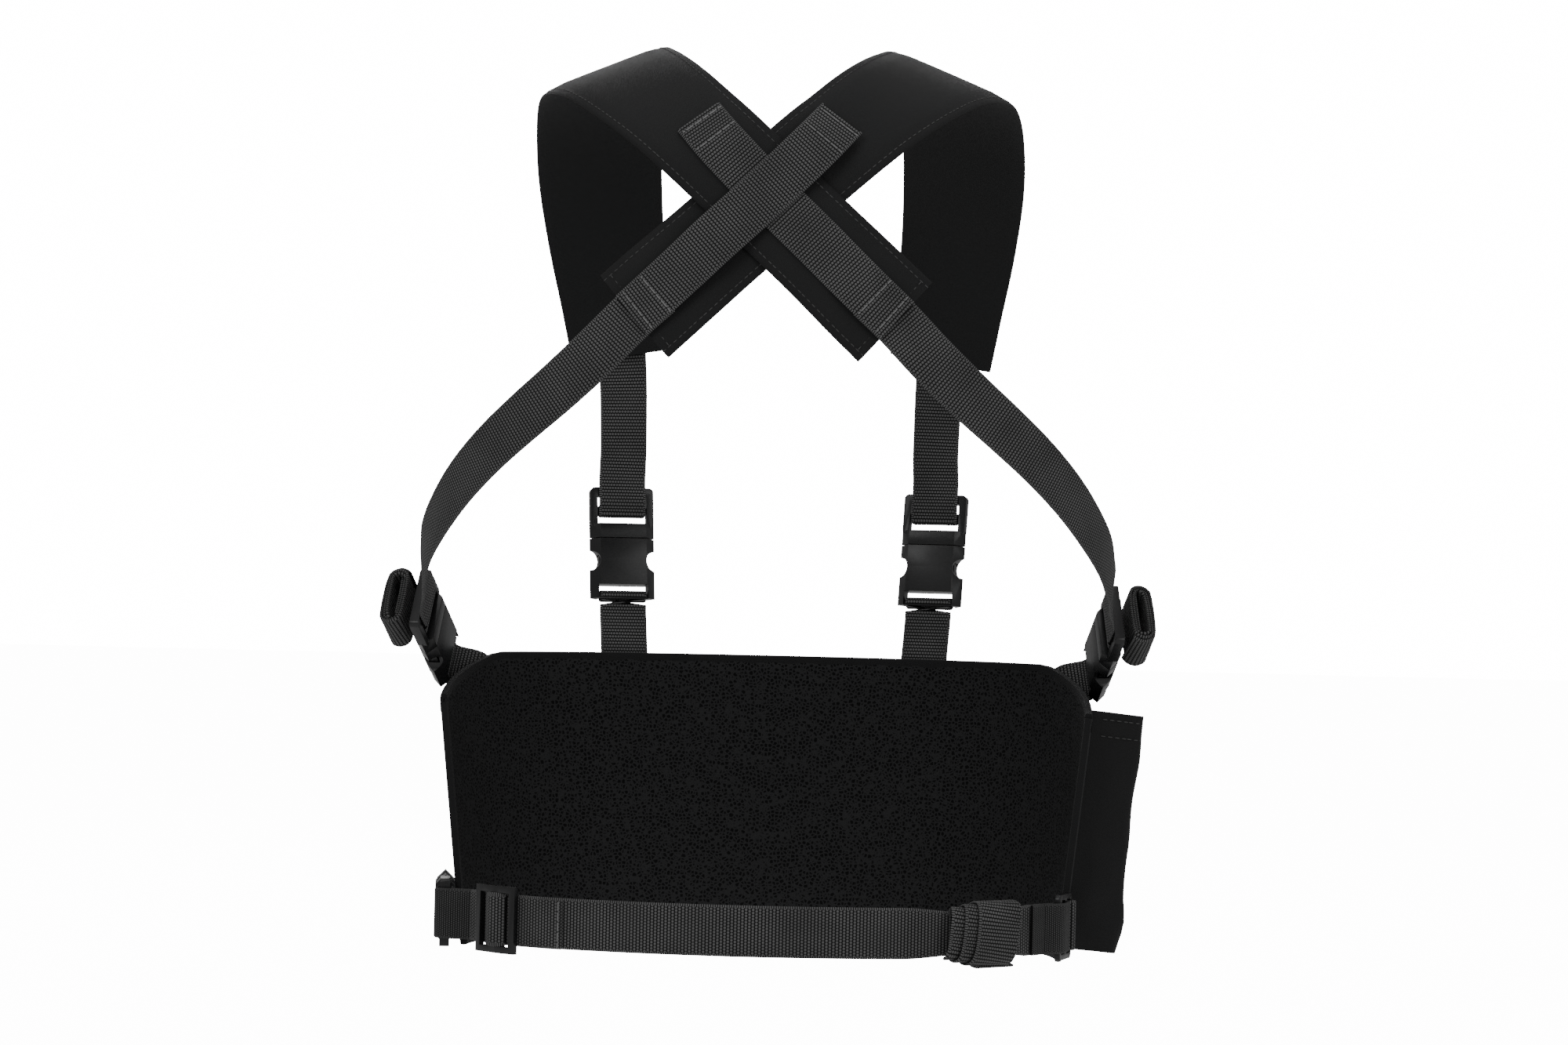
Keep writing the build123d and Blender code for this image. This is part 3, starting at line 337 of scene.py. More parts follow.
def stitch_row(bm, stations, pitch=3.4, length=2.5, thick=0.62):
    """Lays thread stitches end to end along stations, half sunk in the cloth."""
    rows = through(stations, 1.0)
    carried = pitch / 2
    for index in range(len(rows) - 1):
        here, there = rows[index][0], rows[index + 1][0]
        carried += (there - here).length
        if carried < pitch:
            continue
        carried -= pitch
        along = (there - here).normalized()
        out = (rows[index][1] - along * rows[index][1].dot(along)).normalized()
        across = out.cross(along)
        place = Matrix((across, out, along)).transposed().to_4x4()
        place.translation = here * MM
        size = Matrix.Diagonal((thick * MM / 2, thick * MM / 3, length * MM / 2, 1))
        bmesh.ops.create_uvsphere(bm, u_segments=6, v_segments=4, radius=1.0, matrix=place @ size)


def bar_tack(bm, stations, at, half_width, lift, rows=2, gap=2.6):
    """Rows of close stitches across a strap, at a distance along its run."""
    run = through(stations, 1.0)
    travelled = 0.0
    for index in range(1, len(run)):
        travelled += (run[index][0] - run[index - 1][0]).length
        if travelled >= at:
            break
    across, out = across_and_out(section_frames(run)[index])
    along = out.cross(across) * -1
    for row in range(rows):
        middle = run[index][0] + out * lift + along * (row - (rows - 1) / 2) * gap
        wobble = 0.25 * sin(row * 2.1)
        ends = [(middle - across * half_width + along * wobble, out), (middle + across * half_width, out)]
        stitch_row(bm, ends, pitch=1.25, length=1.5, thick=0.9)


# ------------------------------------------------------------ finishes
FINISHES = {}


def finish_named(name):
    return FINISHES[name]


def node(tree, kind, settings=None, inputs=None):
    """A shader node with settings, whose inputs are values or sockets to join."""
    made = tree.nodes.new(kind)
    for key, value in (settings or {}).items():
        setattr(made, key, value)
    for key, value in (inputs or {}).items():
        if isinstance(value, bpy.types.NodeSocket):
            tree.links.new(value, made.inputs[key])
        else:
            made.inputs[key].default_value = value
    return made


def calc(tree, operation, first, second=0.0):
    return node(tree, "ShaderNodeMath", {"operation": operation}, {0: first, 1: second}).outputs[0]


def new_group(name, inputs, outputs):
    """A node group with float or colour sockets."""
    group = bpy.data.node_groups.new(name, "ShaderNodeTree")
    for label, kind, value in inputs:
        socket = group.interface.new_socket(name=label, in_out="INPUT", socket_type=kind)
        socket.default_value = value
    for label, kind in outputs:
        group.interface.new_socket(name=label, in_out="OUTPUT", socket_type=kind)
    return group, group.nodes.new("NodeGroupInput"), group.nodes.new("NodeGroupOutput")


def webbing_weave_group():
    """Ribs running across the strap, each broken into short knuckles that sit between its neighbour's; Crest
    Highlight is the mask of the rib tops, where a highlight is painted.
    """
    group, given, put = new_group(
        "webbing weave",
        [("Across", "NodeSocketFloat", 0.0), ("Along", "NodeSocketFloat", 0.0),
         ("Cord Width", "NodeSocketFloat", 0.0012), ("Rib Length", "NodeSocketFloat", 0.0019)],
        [("Height", "NodeSocketFloat"), ("Crest Highlight", "NodeSocketFloat")])
    rib = calc(group, "DIVIDE", given.outputs["Along"], given.outputs["Rib Length"])
    odd = calc(group, "FLOORED_MODULO", calc(group, "FLOOR", rib), 2.0)
    cord = calc(group, "DIVIDE", given.outputs["Across"], given.outputs["Cord Width"])
    shifted = calc(group, "ADD", cord, calc(group, "MULTIPLY", odd, 0.5))
    over = calc(group, "POWER", ripple(group, rib), 0.7)
    knuckle = calc(group, "POWER", ripple(group, shifted), 0.6)
    relief = calc(group, "ADD", calc(group, "MULTIPLY", knuckle, 0.8), 0.2)
    height = calc(group, "MULTIPLY", over, relief)
    edge = calc(group, "GREATER_THAN", calc(group, "ABSOLUTE", given.outputs["Across"]), 0.0113)
    selvedge = calc(group, "ABSOLUTE", calc(group, "SINE", calc(group, "MULTIPLY", rib, pi * 1.5)))
    mixed = node(group, "ShaderNodeMix", {"data_type": "FLOAT"}, {0: edge, 2: height, 3: selvedge}).outputs[0]
    group.links.new(mixed, put.inputs["Height"])
    # Mask of the rib tops: the colour mix paints a highlight on them and painted shadow between the ribs; it
    # also sets roughness.
    crest = node(group, "ShaderNodeMapRange", {"interpolation_type": "SMOOTHSTEP"},
                 {0: mixed, 1: 0.3, 2: 0.9, 3: 0.0, 4: 1.0}).outputs[0]
    group.links.new(crest, put.inputs["Crest Highlight"])
    return group


def plain_weave_group():
    """A fine plain weave with soft cloudy variation, on object coordinates."""
    group, given, put = new_group(
        "plain weave",
        [("Pitch", "NodeSocketFloat", 0.0006), ("Cloud Size", "NodeSocketFloat", 0.03)],
        [("Height", "NodeSocketFloat"), ("Cloud", "NodeSocketFloat")])
    place = node(group, "ShaderNodeTexCoord").outputs["Object"]
    split = node(group, "ShaderNodeSeparateXYZ", None, {0: place})
    turn = calc(group, "DIVIDE", 2 * pi, given.outputs["Pitch"])
    level = calc(group, "ADD", split.outputs[0], calc(group, "MULTIPLY", split.outputs[1], 0.83))
    warp = calc(group, "SINE", calc(group, "MULTIPLY", level, turn))
    weft = calc(group, "SINE", calc(group, "MULTIPLY", split.outputs[2], turn))
    group.links.new(calc(group, "MULTIPLY", warp, weft), put.inputs["Height"])
    scale = calc(group, "DIVIDE", 1.0, given.outputs["Cloud Size"])
    cloud = noise_value(group, place, scale, 4.0)
    group.links.new(cloud, put.inputs["Cloud"])
    return group


def wear_group():
    """Fine scuffs on moulded parts."""
    group, given, put = new_group("fine scuffs", [("Scale", "NodeSocketFloat", 900.0)],
                                  [("Height", "NodeSocketFloat"), ("Patch", "NodeSocketFloat")])
    place = node(group, "ShaderNodeTexCoord").outputs["Object"]
    grain = noise_value(group, place, given.outputs["Scale"], 2.0)
    patch = noise_value(group, place, 60.0, 3.0)
    group.links.new(grain, put.inputs["Height"])
    group.links.new(patch, put.inputs["Patch"])
    return group


def noise_value(tree, place, scale, detail):
    """A noise texture's value at a place."""
    inputs = {"Vector": place, "Scale": scale, "Detail": detail}
    return node(tree, "ShaderNodeTexNoise", None, inputs).outputs[0]


def spread(tree, value, low, high):
    """Maps a value of 0 to 1 onto low to high."""
    return node(tree, "ShaderNodeMapRange", None, {0: value, 3: low, 4: high}).outputs[0]


def ripple(tree, value):
    """A row of rounded humps, one for each whole step of a value."""
    return calc(tree, "ABSOLUTE", calc(tree, "SINE", calc(tree, "MULTIPLY", value, pi)))


def shade_of(colour, factor):
    return tuple(part * factor for part in colour)


def new_finish(name):
    material = bpy.data.materials.new(name)
    material.use_nodes = True
    tree = material.node_tree
    FINISHES[name] = material
    return tree, tree.nodes["Principled BSDF"]


def tone(tree, factor, dark, light):
    """Mixes two colours by a factor."""
    return node(tree, "ShaderNodeMix", {"data_type": "RGBA"},
                {0: factor, 6: (*dark, 1), 7: (*light, 1)}).outputs[2]


def webbing_finish(name, group, dark, light, cord, rib):
    tree, surface = new_finish(name)
    across = node(tree, "ShaderNodeAttribute", {"attribute_name": "across"}).outputs["Fac"]
    along = node(tree, "ShaderNodeAttribute", {"attribute_name": "along"}).outputs["Fac"]
    weave = node(tree, "ShaderNodeGroup", {"node_tree": group},
                 {"Across": across, "Along": along, "Cord Width": cord, "Rib Length": rib})
    place = node(tree, "ShaderNodeTexCoord").outputs["Object"]
    cloud = noise_value(tree, place, 45.0, 5.0)
    fuzz = noise_value(tree, place, 1400.0, 2.0)
    patchy = calc(tree, "ADD", calc(tree, "MULTIPLY", cloud, 0.9), 0.45)
    # Painted highlight on the rib crests, broken up by cloud noise; the valleys between the ribs take the
    # painted shadow colour.
    lit = calc(tree, "MULTIPLY", weave.outputs["Crest Highlight"], patchy)
    tree.links.new(tone(tree, lit, dark, light), surface.inputs["Base Color"])
    height = calc(tree, "ADD", weave.outputs["Height"], calc(tree, "MULTIPLY", fuzz, 0.35))
    bump = node(tree, "ShaderNodeBump", None, {"Height": height, "Strength": 0.8, "Distance": 0.00035})
    tree.links.new(bump.outputs[0], surface.inputs["Normal"])
    tree.links.new(spread(tree, weave.outputs["Crest Highlight"], 0.95, 0.62), surface.inputs["Roughness"])
    surface.inputs["Sheen Weight"].default_value = 0.05
    surface.inputs["Sheen Roughness"].default_value = 0.4
    surface.inputs["Specular IOR Level"].default_value = 0.3


def cloth_finish(name, group, dark, light, rough, pitch=0.0006, depth=0.0001, sheen=0.05):
    tree, surface = new_finish(name)
    weave = node(tree, "ShaderNodeGroup", {"node_tree": group}, {"Pitch": pitch, "Cloud Size": 0.03})
    tree.links.new(tone(tree, weave.outputs["Cloud"], dark, light), surface.inputs["Base Color"])
    wave = calc(tree, "ADD", weave.outputs["Height"], calc(tree, "MULTIPLY", weave.outputs["Cloud"], 3.0))
    bump = node(tree, "ShaderNodeBump", None, {"Height": wave, "Strength": 0.6, "Distance": depth})
    tree.links.new(bump.outputs[0], surface.inputs["Normal"])
    shade = spread(tree, weave.outputs["Cloud"], rough - 0.08, rough + 0.08)
    tree.links.new(shade, surface.inputs["Roughness"])
    surface.inputs["Sheen Weight"].default_value = sheen
    surface.inputs["Sheen Roughness"].default_value = 0.45
    surface.inputs["Specular IOR Level"].default_value = 0.22


def mesh_finish(name, dark, light):
    """Spacer mesh: small open cells between raised threads; the cells are painted dark as shade and the
    threads take the lighter colour.
    """
    tree, surface = new_finish(name)
    place = node(tree, "ShaderNodeTexCoord").outputs["Object"]
    cell = node(tree, "ShaderNodeTexVoronoi", {"feature": "DISTANCE_TO_EDGE"},
                {"Vector": place, "Scale": 520.0, "Randomness": 0.9}).outputs["Distance"]
    thread = node(tree, "ShaderNodeMapRange", {"interpolation_type": "SMOOTHSTEP"},
                  {0: cell, 1: 0.1, 2: 0.3, 3: 1.0, 4: 0.0}).outputs[0]
    # Painted shade: the open cells take the dark colour and the threads round them take the light one.
    tree.links.new(tone(tree, thread, dark, light), surface.inputs["Base Color"])
    bump = node(tree, "ShaderNodeBump", None, {"Height": thread, "Strength": 0.8, "Distance": 0.0005})
    tree.links.new(bump.outputs[0], surface.inputs["Normal"])
    tree.links.new(spread(tree, thread, 0.95, 0.75), surface.inputs["Roughness"])
    surface.inputs["Specular IOR Level"].default_value = 0.2


def moulded_finish(name, group, dark, light, rough):
    tree, surface = new_finish(name)
    scuffs = node(tree, "ShaderNodeGroup", {"node_tree": group}, {"Scale": 1100.0})
    tree.links.new(tone(tree, scuffs.outputs["Patch"], dark, light), surface.inputs["Base Color"])
    bump = node(tree, "ShaderNodeBump", None,
                {"Height": scuffs.outputs["Height"], "Strength": 0.25, "Distance": 0.00006})
    tree.links.new(bump.outputs[0], surface.inputs["Normal"])
    shade = spread(tree, scuffs.outputs["Patch"], rough - 0.07, rough + 0.1)
    tree.links.new(shade, surface.inputs["Roughness"])
    surface.inputs["IOR"].default_value = 1.5


def make_finishes():
    """Every finish of the rig."""
    look = bpy.context.scene.rig_finish
    weave, plain, scuffs = webbing_weave_group(), plain_weave_group(), wear_group()
    # The webbing's two colours are painted shadow between the ribs and a painted highlight on the rib crests.
    dark, light = tuple(look.webbing_shadow), tuple(look.webbing_crest_highlight)
    webbing_finish("webbing", weave, dark, light, 0.0015, 0.0017)
    webbing_finish("webbing fine", weave, dark, shade_of(light, 0.55), 0.0011, 0.0012)
    cloth = tuple(look.cloth)
    cloth_finish("yoke cloth", plain, cloth, shade_of(cloth, 1.35), 0.62, 0.00045, 0.00005)
    cloth_finish("pack cloth", plain, cloth, shade_of(cloth, 1.45), 0.7, 0.0008, 0.0001)
    cloth_finish("binding", plain, shade_of(cloth, 0.8), shade_of(cloth, 1.5), 0.8, 0.001, 0.00015)
    # The mesh's dark colour is painted shade in the lining's open cells.
    mesh_finish("mesh", shade_of(cloth, 0.3), shade_of(cloth, 1.9))
    cloth_finish("hook tape", plain, (0.01,) * 3, (0.03,) * 3, 0.75, 0.0014, 0.0004)
    cloth_finish("grey tape", plain, (0.2,) * 3, (0.32,) * 3, 0.85, 0.0012, 0.0002)
    cloth_finish("thread", plain, tuple(look.thread), shade_of(look.thread, 1.5), 0.7, 0.0005, 0.00008)
    cloth_finish("tack thread", plain, (0.15,) * 3, (0.27,) * 3, 0.65, 0.0005, 0.00008)
    moulded_finish("buckle plastic", scuffs, (0.006, 0.006, 0.0065), (0.012, 0.012, 0.0125), 0.32)


# ------------------------------------------------------------ the yokes' pads and webbing
def padded_profile(crown):
    """Half-width 0.5 cross-section of a stitched pad: thin edges, a sewn channel and a soft crown."""
    top = [(-0.5, 0.9), (-0.488, 1.5), (-0.46, 2.0), (-0.43, 2.15), (-0.40, 2.6), (-0.33, crown - 0.12),
           (-0.15, crown), (0.15, crown), (0.33, crown - 0.12), (0.40, 2.6), (0.43, 2.15), (0.46, 2.0),
           (0.488, 1.5), (0.5, 0.9)]
    bottom = [(0.485, 0.3), (0.4, 0.08), (0.15, 0.0), (-0.15, 0.0), (-0.4, 0.08), (-0.485, 0.3)]
    return top + bottom


def yoke_stations(side, over):
    stations = []
    for point, out, width, share in YOKE_RUN:
        place = Vector((side * point[0], point[1], point[2]))
        stations.append((place, Vector((side * out[0], out[1], out[2])), width, share * over))
    return stations


def raised(stations):
    """Yoke stations lifted by their crossing lift, as (point, out, width)."""
    lifted = []
    for place, (point, _, width, over) in zip(section_frames([s[:2] for s in stations]), stations):
        _, out = across_and_out(place)
        lifted.append((point + out * over, out, width))
    return lifted


def make_yoke(name, side, over):
    stations = raised(yoke_stations(side, over))
    bm = bmesh.new()
    smooth_run = through(stations, 5.0)
    sweep_mesh(bm, smooth_run, padded_profile(3.25))
    piece = finish_piece(f"yoke_pad_{name}", bm, finish_named("yoke cloth"), "rig",
                         (f"yoke_{name}_face", f"yoke_{name}_foam", f"yoke_{name}_lining"), smooth=50)
    bm = bmesh.new()
    for edge in (-1, 1):
        line = []
        for place, (point, _, width) in zip(section_frames([s[:2] for s in smooth_run]), smooth_run):
            across, out = across_and_out(place)
            line.append((point + across * edge * (width / 2 - 3.6) + out * 2.2, out))
        stitch_row(bm, line, 3.3, 2.4, 0.6)
    for end in (1, -2):
        across, out = across_and_out(section_frames([s[:2] for s in smooth_run])[end])
        point, half = smooth_run[end][0], smooth_run[end][2] / 2 - 4.0
        ends = [(point + across * x + out * 3.0, out) for x in (-half, -half / 3, half / 3, half)]
        stitch_row(bm, ends, 3.3, 2.4, 0.6)
    finish_piece(f"yoke_stitching_{name}", bm, finish_named("thread"), "rig")


def yoke_webbing_run(side, over, under):
    run = []
    base = yoke_stations(side, 0.0)
    frames = section_frames([s[:2] for s in base])
    for index, shift in enumerate(WEBBING_SHIFT):
        share = YOKE_RUN[index][3]
        tuck = YOKE_TUCK if index < 2 else 0.0
        across, out = across_and_out(frames[index])
        lift = YOKE_T + LAYER_GAP + share * (over + under) + tuck + WEB_T / 2
        run.append((base[index][0] + out * lift - across * side * shift, out))
    return run


# ------------------------------------------------------------ what a user would change
def colour(name, text, default):
    return bpy.props.FloatVectorProperty(name=name, description=text, subtype="COLOR", size=3,
                                         default=default, min=0, max=1)


class RigFinish(bpy.types.PropertyGroup):
    """Colours of the rig."""
    cloth: colour("Cloth", "Colour of the yokes and pockets", (0.0108, 0.0108, 0.0112))
    # The two webbing colours are painted shadow between the ribs and a painted highlight on the rib tops.
    webbing_shadow: colour("Webbing shadow", "Colour between the ribs", (0.0045, 0.0045, 0.0045))
    webbing_crest_highlight: colour("Webbing crest", "Colour on top of the ribs", (0.135, 0.135, 0.135))
    thread: colour("Thread", "Colour of the stitching", (0.06, 0.06, 0.06))


class RigSizes(bpy.types.PropertyGroup):
    """Sizes of the small details."""
    edge_round: bpy.props.FloatProperty(name="Buckle edge",
                                        description="Rounding of the moulded parts' edges",
                                        unit="LENGTH", default=0.0006, min=0.0001, max=0.002)
    roll_turns: bpy.props.IntProperty(name="Roll turns", description="Turns of webbing in a rolled strap end",
                                      default=3, min=2, max=4)
    sag: bpy.props.FloatProperty(name="Pocket sag", description="How far the empty side pocket's cloth folds",
                                 unit="LENGTH", default=0.0022, min=0.0, max=0.004)


# ------------------------------------------------------------ the operators, one for each group of pieces
class RIG_OT_stage(bpy.types.Operator):
    """Sets the camera, the pale floor and the soft lights"""
    bl_idname = "rig.stage"
    bl_label = "Stage and camera"

    def execute(self, context):
        turn, distance, height, x = radians(2.0), 2.4, 0.198, -0.0075
        camera = bpy.data.objects.new("camera", bpy.data.cameras.new("camera"))
        camera.data.lens = 109.2
        camera.data.sensor_width = 36.0
        look = Vector((sin(turn), -cos(turn), 0))
        right = look.cross(Vector((0, 0, 1)))
        up = Vector((0, 0, 1))
        roll = radians(1.3)
        tilted_up = up * cos(roll) - right * sin(roll)
        tilted_right = right * cos(roll) + up * sin(roll)
        turned = Matrix((tilted_right, tilted_up, -look)).transposed().to_4x4()
        turned.translation = Vector((x, 0, height)) - look * distance
        camera.matrix_world = turned
        context.scene.collection.objects.link(camera)
        context.scene.camera = camera

        bm = bmesh.new()
        bmesh.ops.create_grid(bm, x_segments=1, y_segments=1, size=9.0,
                              matrix=Matrix.Translation((0, 0, CAD_BOX[0][2] - 0.12)))
        tree, surface = new_finish("studio floor")
        place = node(tree, "ShaderNodeTexCoord").outputs["Object"]
        cloud = node(tree, "ShaderNodeTexNoise", None, {"Vector": place, "Scale": 2.0}).outputs[0]
        tree.links.new(tone(tree, cloud, (0.86, 0.86, 0.86), (0.9, 0.9, 0.9)), surface.inputs["Base Color"])
        surface.inputs["Roughness"].default_value = 0.9
        surface.inputs["Emission Color"].default_value = (1, 1, 1, 1)
        seen = node(tree, "ShaderNodeLightPath").outputs["Is Camera Ray"]
        tree.links.new(calc(tree, "MULTIPLY", seen, 14.0), surface.inputs["Emission Strength"])
        floor = finish_piece("studio_floor", bm, finish_named("studio floor"), recalc=False)

        world = bpy.data.worlds.new("studio")
        context.scene.world = world
        world.use_nodes = True
        sky = world.node_tree.nodes["Background"]
        sky.inputs[0].default_value = (1, 1, 1, 1)
        seen = node(world.node_tree, "ShaderNodeLightPath").outputs["Is Camera Ray"]
        strength = node(world.node_tree, "ShaderNodeMapRange", None, {0: seen, 3: 0.3, 4: 16.0}).outputs[0]
        world.node_tree.links.new(strength, sky.inputs[1])
        for name, spot, size, power in (("key softbox", (1.3, 2.0, 1.7), 1.4, 14),
                                        ("fill softbox", (-1.6, 1.7, 0.9), 1.3, 8),
                                        ("front softbox", (0.4, -2.2, 1.3), 1.6, 12),
                                        ("top softbox", (0, 0.2, 2.2), 1.6, 9)):
            lamp = bpy.data.lights.new(name, "AREA")
            lamp.shape, lamp.size, lamp.energy = "DISK", size, power
            light = bpy.data.objects.new(name, lamp)
            context.scene.collection.objects.link(light)
            aim = Vector((0, 0, 0.2)) - Vector(spot)
            light.matrix_world = Matrix.Translation(spot) @ aim.to_track_quat("-Z", "Y").to_matrix().to_4x4()
        return {"FINISHED"}


class RIG_OT_finishes(bpy.types.Operator):
    """Makes the cloth, webbing, thread and plastic finishes"""
    bl_idname = "rig.finishes"
    bl_label = "Finishes"

    def execute(self, context):
        make_finishes()
        return {"FINISHED"}


class RIG_OT_yokes(bpy.types.Operator):
    """Makes the two shoulder yokes, their stitching and the webbing sewn on them"""
    bl_idname = "rig.yokes"
    bl_label = "Shoulder yokes"

    def execute(self, context):
        make_yoke("right", -1, 0.0)
        make_yoke("left", 1, CROSSING_LIFT)
        bm = bmesh.new()
        for name, side, over, under in (("left", 1, CROSSING_LIFT, 0.0),
                                        ("right", -1, 0.0, CROSSING_LIFT + WEB_T + LAYER_GAP)):
            run = yoke_webbing_run(side, over, under)
            strap(f"yoke_strap_{name}", run, replaces=(f"yoke_webbing_{name}",))
            length = sum((b[0] - a[0]).length for a, b in zip(run, run[1:]))
            for at in (3.0, 15.0, length - 15.0, length - 3.0):
                bar_tack(bm, run, at, 11.3, WEB_T / 2 + 0.1, rows=1)
        finish_piece("yoke_bar_tacks", bm, finish_named("tack thread"), "rig")
        return {"FINISHED"}


def around_bar(seat, bar, slack, start, end):
    """Stations round a bar from one direction to another, in degrees from out towards the seam."""
    middle = (bar[0] + bar[1]) / 2
    half_w = (bar[1] - bar[0]) / 2 + slack + WEB_T / 2
    half_t = BAR_T / 2 + slack + WEB_T / 2
    stations = []
    count = max(2, int(abs(end - start) / 30))
    for index in range(count + 1):
        angle = radians(start + (end - start) * index / count)
        x, z = -sin(angle), cos(angle)
        stretch = 1 / max(abs(x), abs(z)) ** 0.35
        stations.append((seat.at(middle + x * half_w * stretch, 0, z * half_t * stretch), seat.way(x, 0, z)))
    return stations


def rolled_run(seat, length, thickness, turns, pitch=1.62):
    """Stations of a flattened roll round a seat's origin, from its outermost layer inwards."""
    straight = (length - thickness) / 2
    stations = []
    for index in range(turns * 16 + 1):
        angle = radians(-60 + 360 * index / 16)
        reach = (thickness - WEB_T) / 2 - pitch * index / 16
        x, z = cos(angle), sin(angle)
        shift = straight * max(-1.0, min(1.0, x * 2.6)) + x * reach
        stations.append((seat.at(shift, 0.9 * sin(index * 0.31), z * reach), seat.way(-x, 0, -z)))
    return stations


def side_strap_run(side):
    run = [(form_point(angle, height, STRAP_LIFT, side), form_out(angle, side)) for angle, height in SIDE_RUN]
    yoke = yoke_stations(-side, 0.0)
    frames = section_frames([s[:2] for s in yoke])
    over = CROSSING_LIFT if side < 0 else 0.0
    for index in range(2):
        _, out = across_and_out(frames[index])
        run.append((yoke[index][0] + out * (YOKE_T + LAYER_GAP + WEB_T / 2 + YOKE_RUN[index][3] * over), out))
    return run


def anchor_run(seat, points, outs):
    """From a seam on the panel to a shell's bar and round it."""
    run = list(zip(points, outs))
    run.append((seat.at(ANCHOR_BAR[0] - 6.0, 0, -1.2), seat.out))
    return run + around_bar(seat, ANCHOR_BAR, LAYER_GAP, 130, -190)


class RIG_OT_side_straps(bpy.types.Operator):
    """Makes the long side straps, their rolled ends and the webbing at the side buckles"""
    bl_idname = "rig.side_straps"
    bl_label = "Side straps"

    def execute(self, context):
        turns = context.scene.rig_sizes.roll_turns
        for name, side in (("left", 1), ("right", -1)):
            seat = run_seat(SIDE_SEAM[0], SIDE_SEAM[1], SIDE_LIFT, SIDE_RISE, side)
            run = side_strap_run(side)
            strap(f"side_run_{name}", run, replaces=(f"side_strap_{name}",))
            ahead, behind = run[0], form_point(SIDE_RUN[0][0] - 1.0, SIDE_RUN[0][1] - 1.3, STRAP_LIFT, side)
            way = (ahead[0] - behind).normalized()
            lead = strap(f"side_lead_strap_{name}",
                         [(seat.at(19.0, 0, -UNDER_FRAME), seat.out),
                          (seat.at(29.0, 0, -UNDER_FRAME), seat.out),
                          (ahead[0] - way * 8, ahead[1]), (ahead[0] + way * 0.5, ahead[1])], body=None,
                         replaces=(f"side_lead_{name}",))
            seat.at(20.0, 0, -UNDER_FRAME) * MM
            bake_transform(lead)
            middle = seat.at(ROLL_MIDDLE, 0, ROLL_OUT + ROLL_T / 2)
            tail = around_bar(seat, LADDER_BAR, LAYER_GAP, 200, 0)
            tail.append((seat.at(21.0, 0, 3.9), seat.way(-0.35, 0, 1)))
            curl = rolled_run(Seat(middle, seat.up, seat.out), ROLL_L, ROLL_T, turns)
            strap(f"side_roll_{name}", tail, f"tongue_side_{name}", (f"side_tail_{name}",), step=2.0,
                  extra=(curl,))
            outs = [form_out(angle, side, PANEL_LEAN) for angle in (-36.0, -31.5)]
            points = [form_point(angle, height, PANEL_SEAT + 0.7, side)
                      for angle, height in ((-36.0, 111.5), (-31.5, 116.5))]
            strap(f"side_anchor_strap_{name}", anchor_run(seat, points, outs),
                  replaces=(f"side_anchor_{name}",))
        return {"FINISHED"}


def front_seat(side):
    out = form_out(FRONT_ANGLE, side, FRONT_LEAN)
    up = Vector((0, 0, 1))
    return Seat(form_point(FRONT_ANGLE, FRONT_SEAM, FRONT_LIFT, side), up - out * up.dot(out), out)


class RIG_OT_front_straps(bpy.types.Operator):
    """Makes the two front straps and their anchors on the panel"""
    bl_idname = "rig.front_straps"
    bl_label = "Front straps"

    def execute(self, context):
        for name, side in (("left", 1), ("right", -1)):
            seat = front_seat(side)
            yoke = yoke_stations(side, 0.0)
            frames = section_frames([s[:2] for s in yoke])
            lift = YOKE_T + LAYER_GAP + WEB_T / 2
            outs = [across_and_out(frames[index])[1] for index in (-2, -1)]
            tops = [(yoke[index][0] + out * lift, out) for index, out in zip((-2, -1), outs)]
            middle = form_point(FRONT_ANGLE, 238, 4.0, side)
            run = [tops[0], tops[1], (middle, form_out(FRONT_ANGLE, side)),
                   (seat.at(TONGUE_L + 3, 0, -UNDER_FRAME), seat.out),
                   (seat.at(19.0, 0, -UNDER_FRAME), seat.out)]
            loop = [(point, -out) for point, out in around_bar(seat, LADDER_BAR, LAYER_GAP, 200, -60)]
            piece = strap(f"front_run_{name}", run + loop, body=None, replaces=(f"front_strap_{name}",))
            seat.at(TONGUE_L, 0, 0) * MM
            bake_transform(piece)
            outs = [form_out(FRONT_ANGLE, side, PANEL_LEAN)] * 2
            points = [form_point(FRONT_ANGLE, PANEL_TOP - 8.5, PANEL_SEAT + 0.7, side),
                      form_point(FRONT_ANGLE, PANEL_TOP - 1.0, PANEL_SEAT + 0.7, side)]
            strap(f"front_anchor_strap_{name}", anchor_run(seat, points, outs),
                  replaces=(f"front_anchor_{name}",))
        return {"FINISHED"}


def waist_run(start, end, lift, side=1, step=3.0):
    """Stations round the waist at a lift, between two angles."""
    count = max(1, ceil(abs(end - start) / step))
    angles = [start + (end - start) * index / count for index in range(count + 1)]
    return [(form_point(angle, 0, lift, side), form_out(angle, side)) for angle in angles]


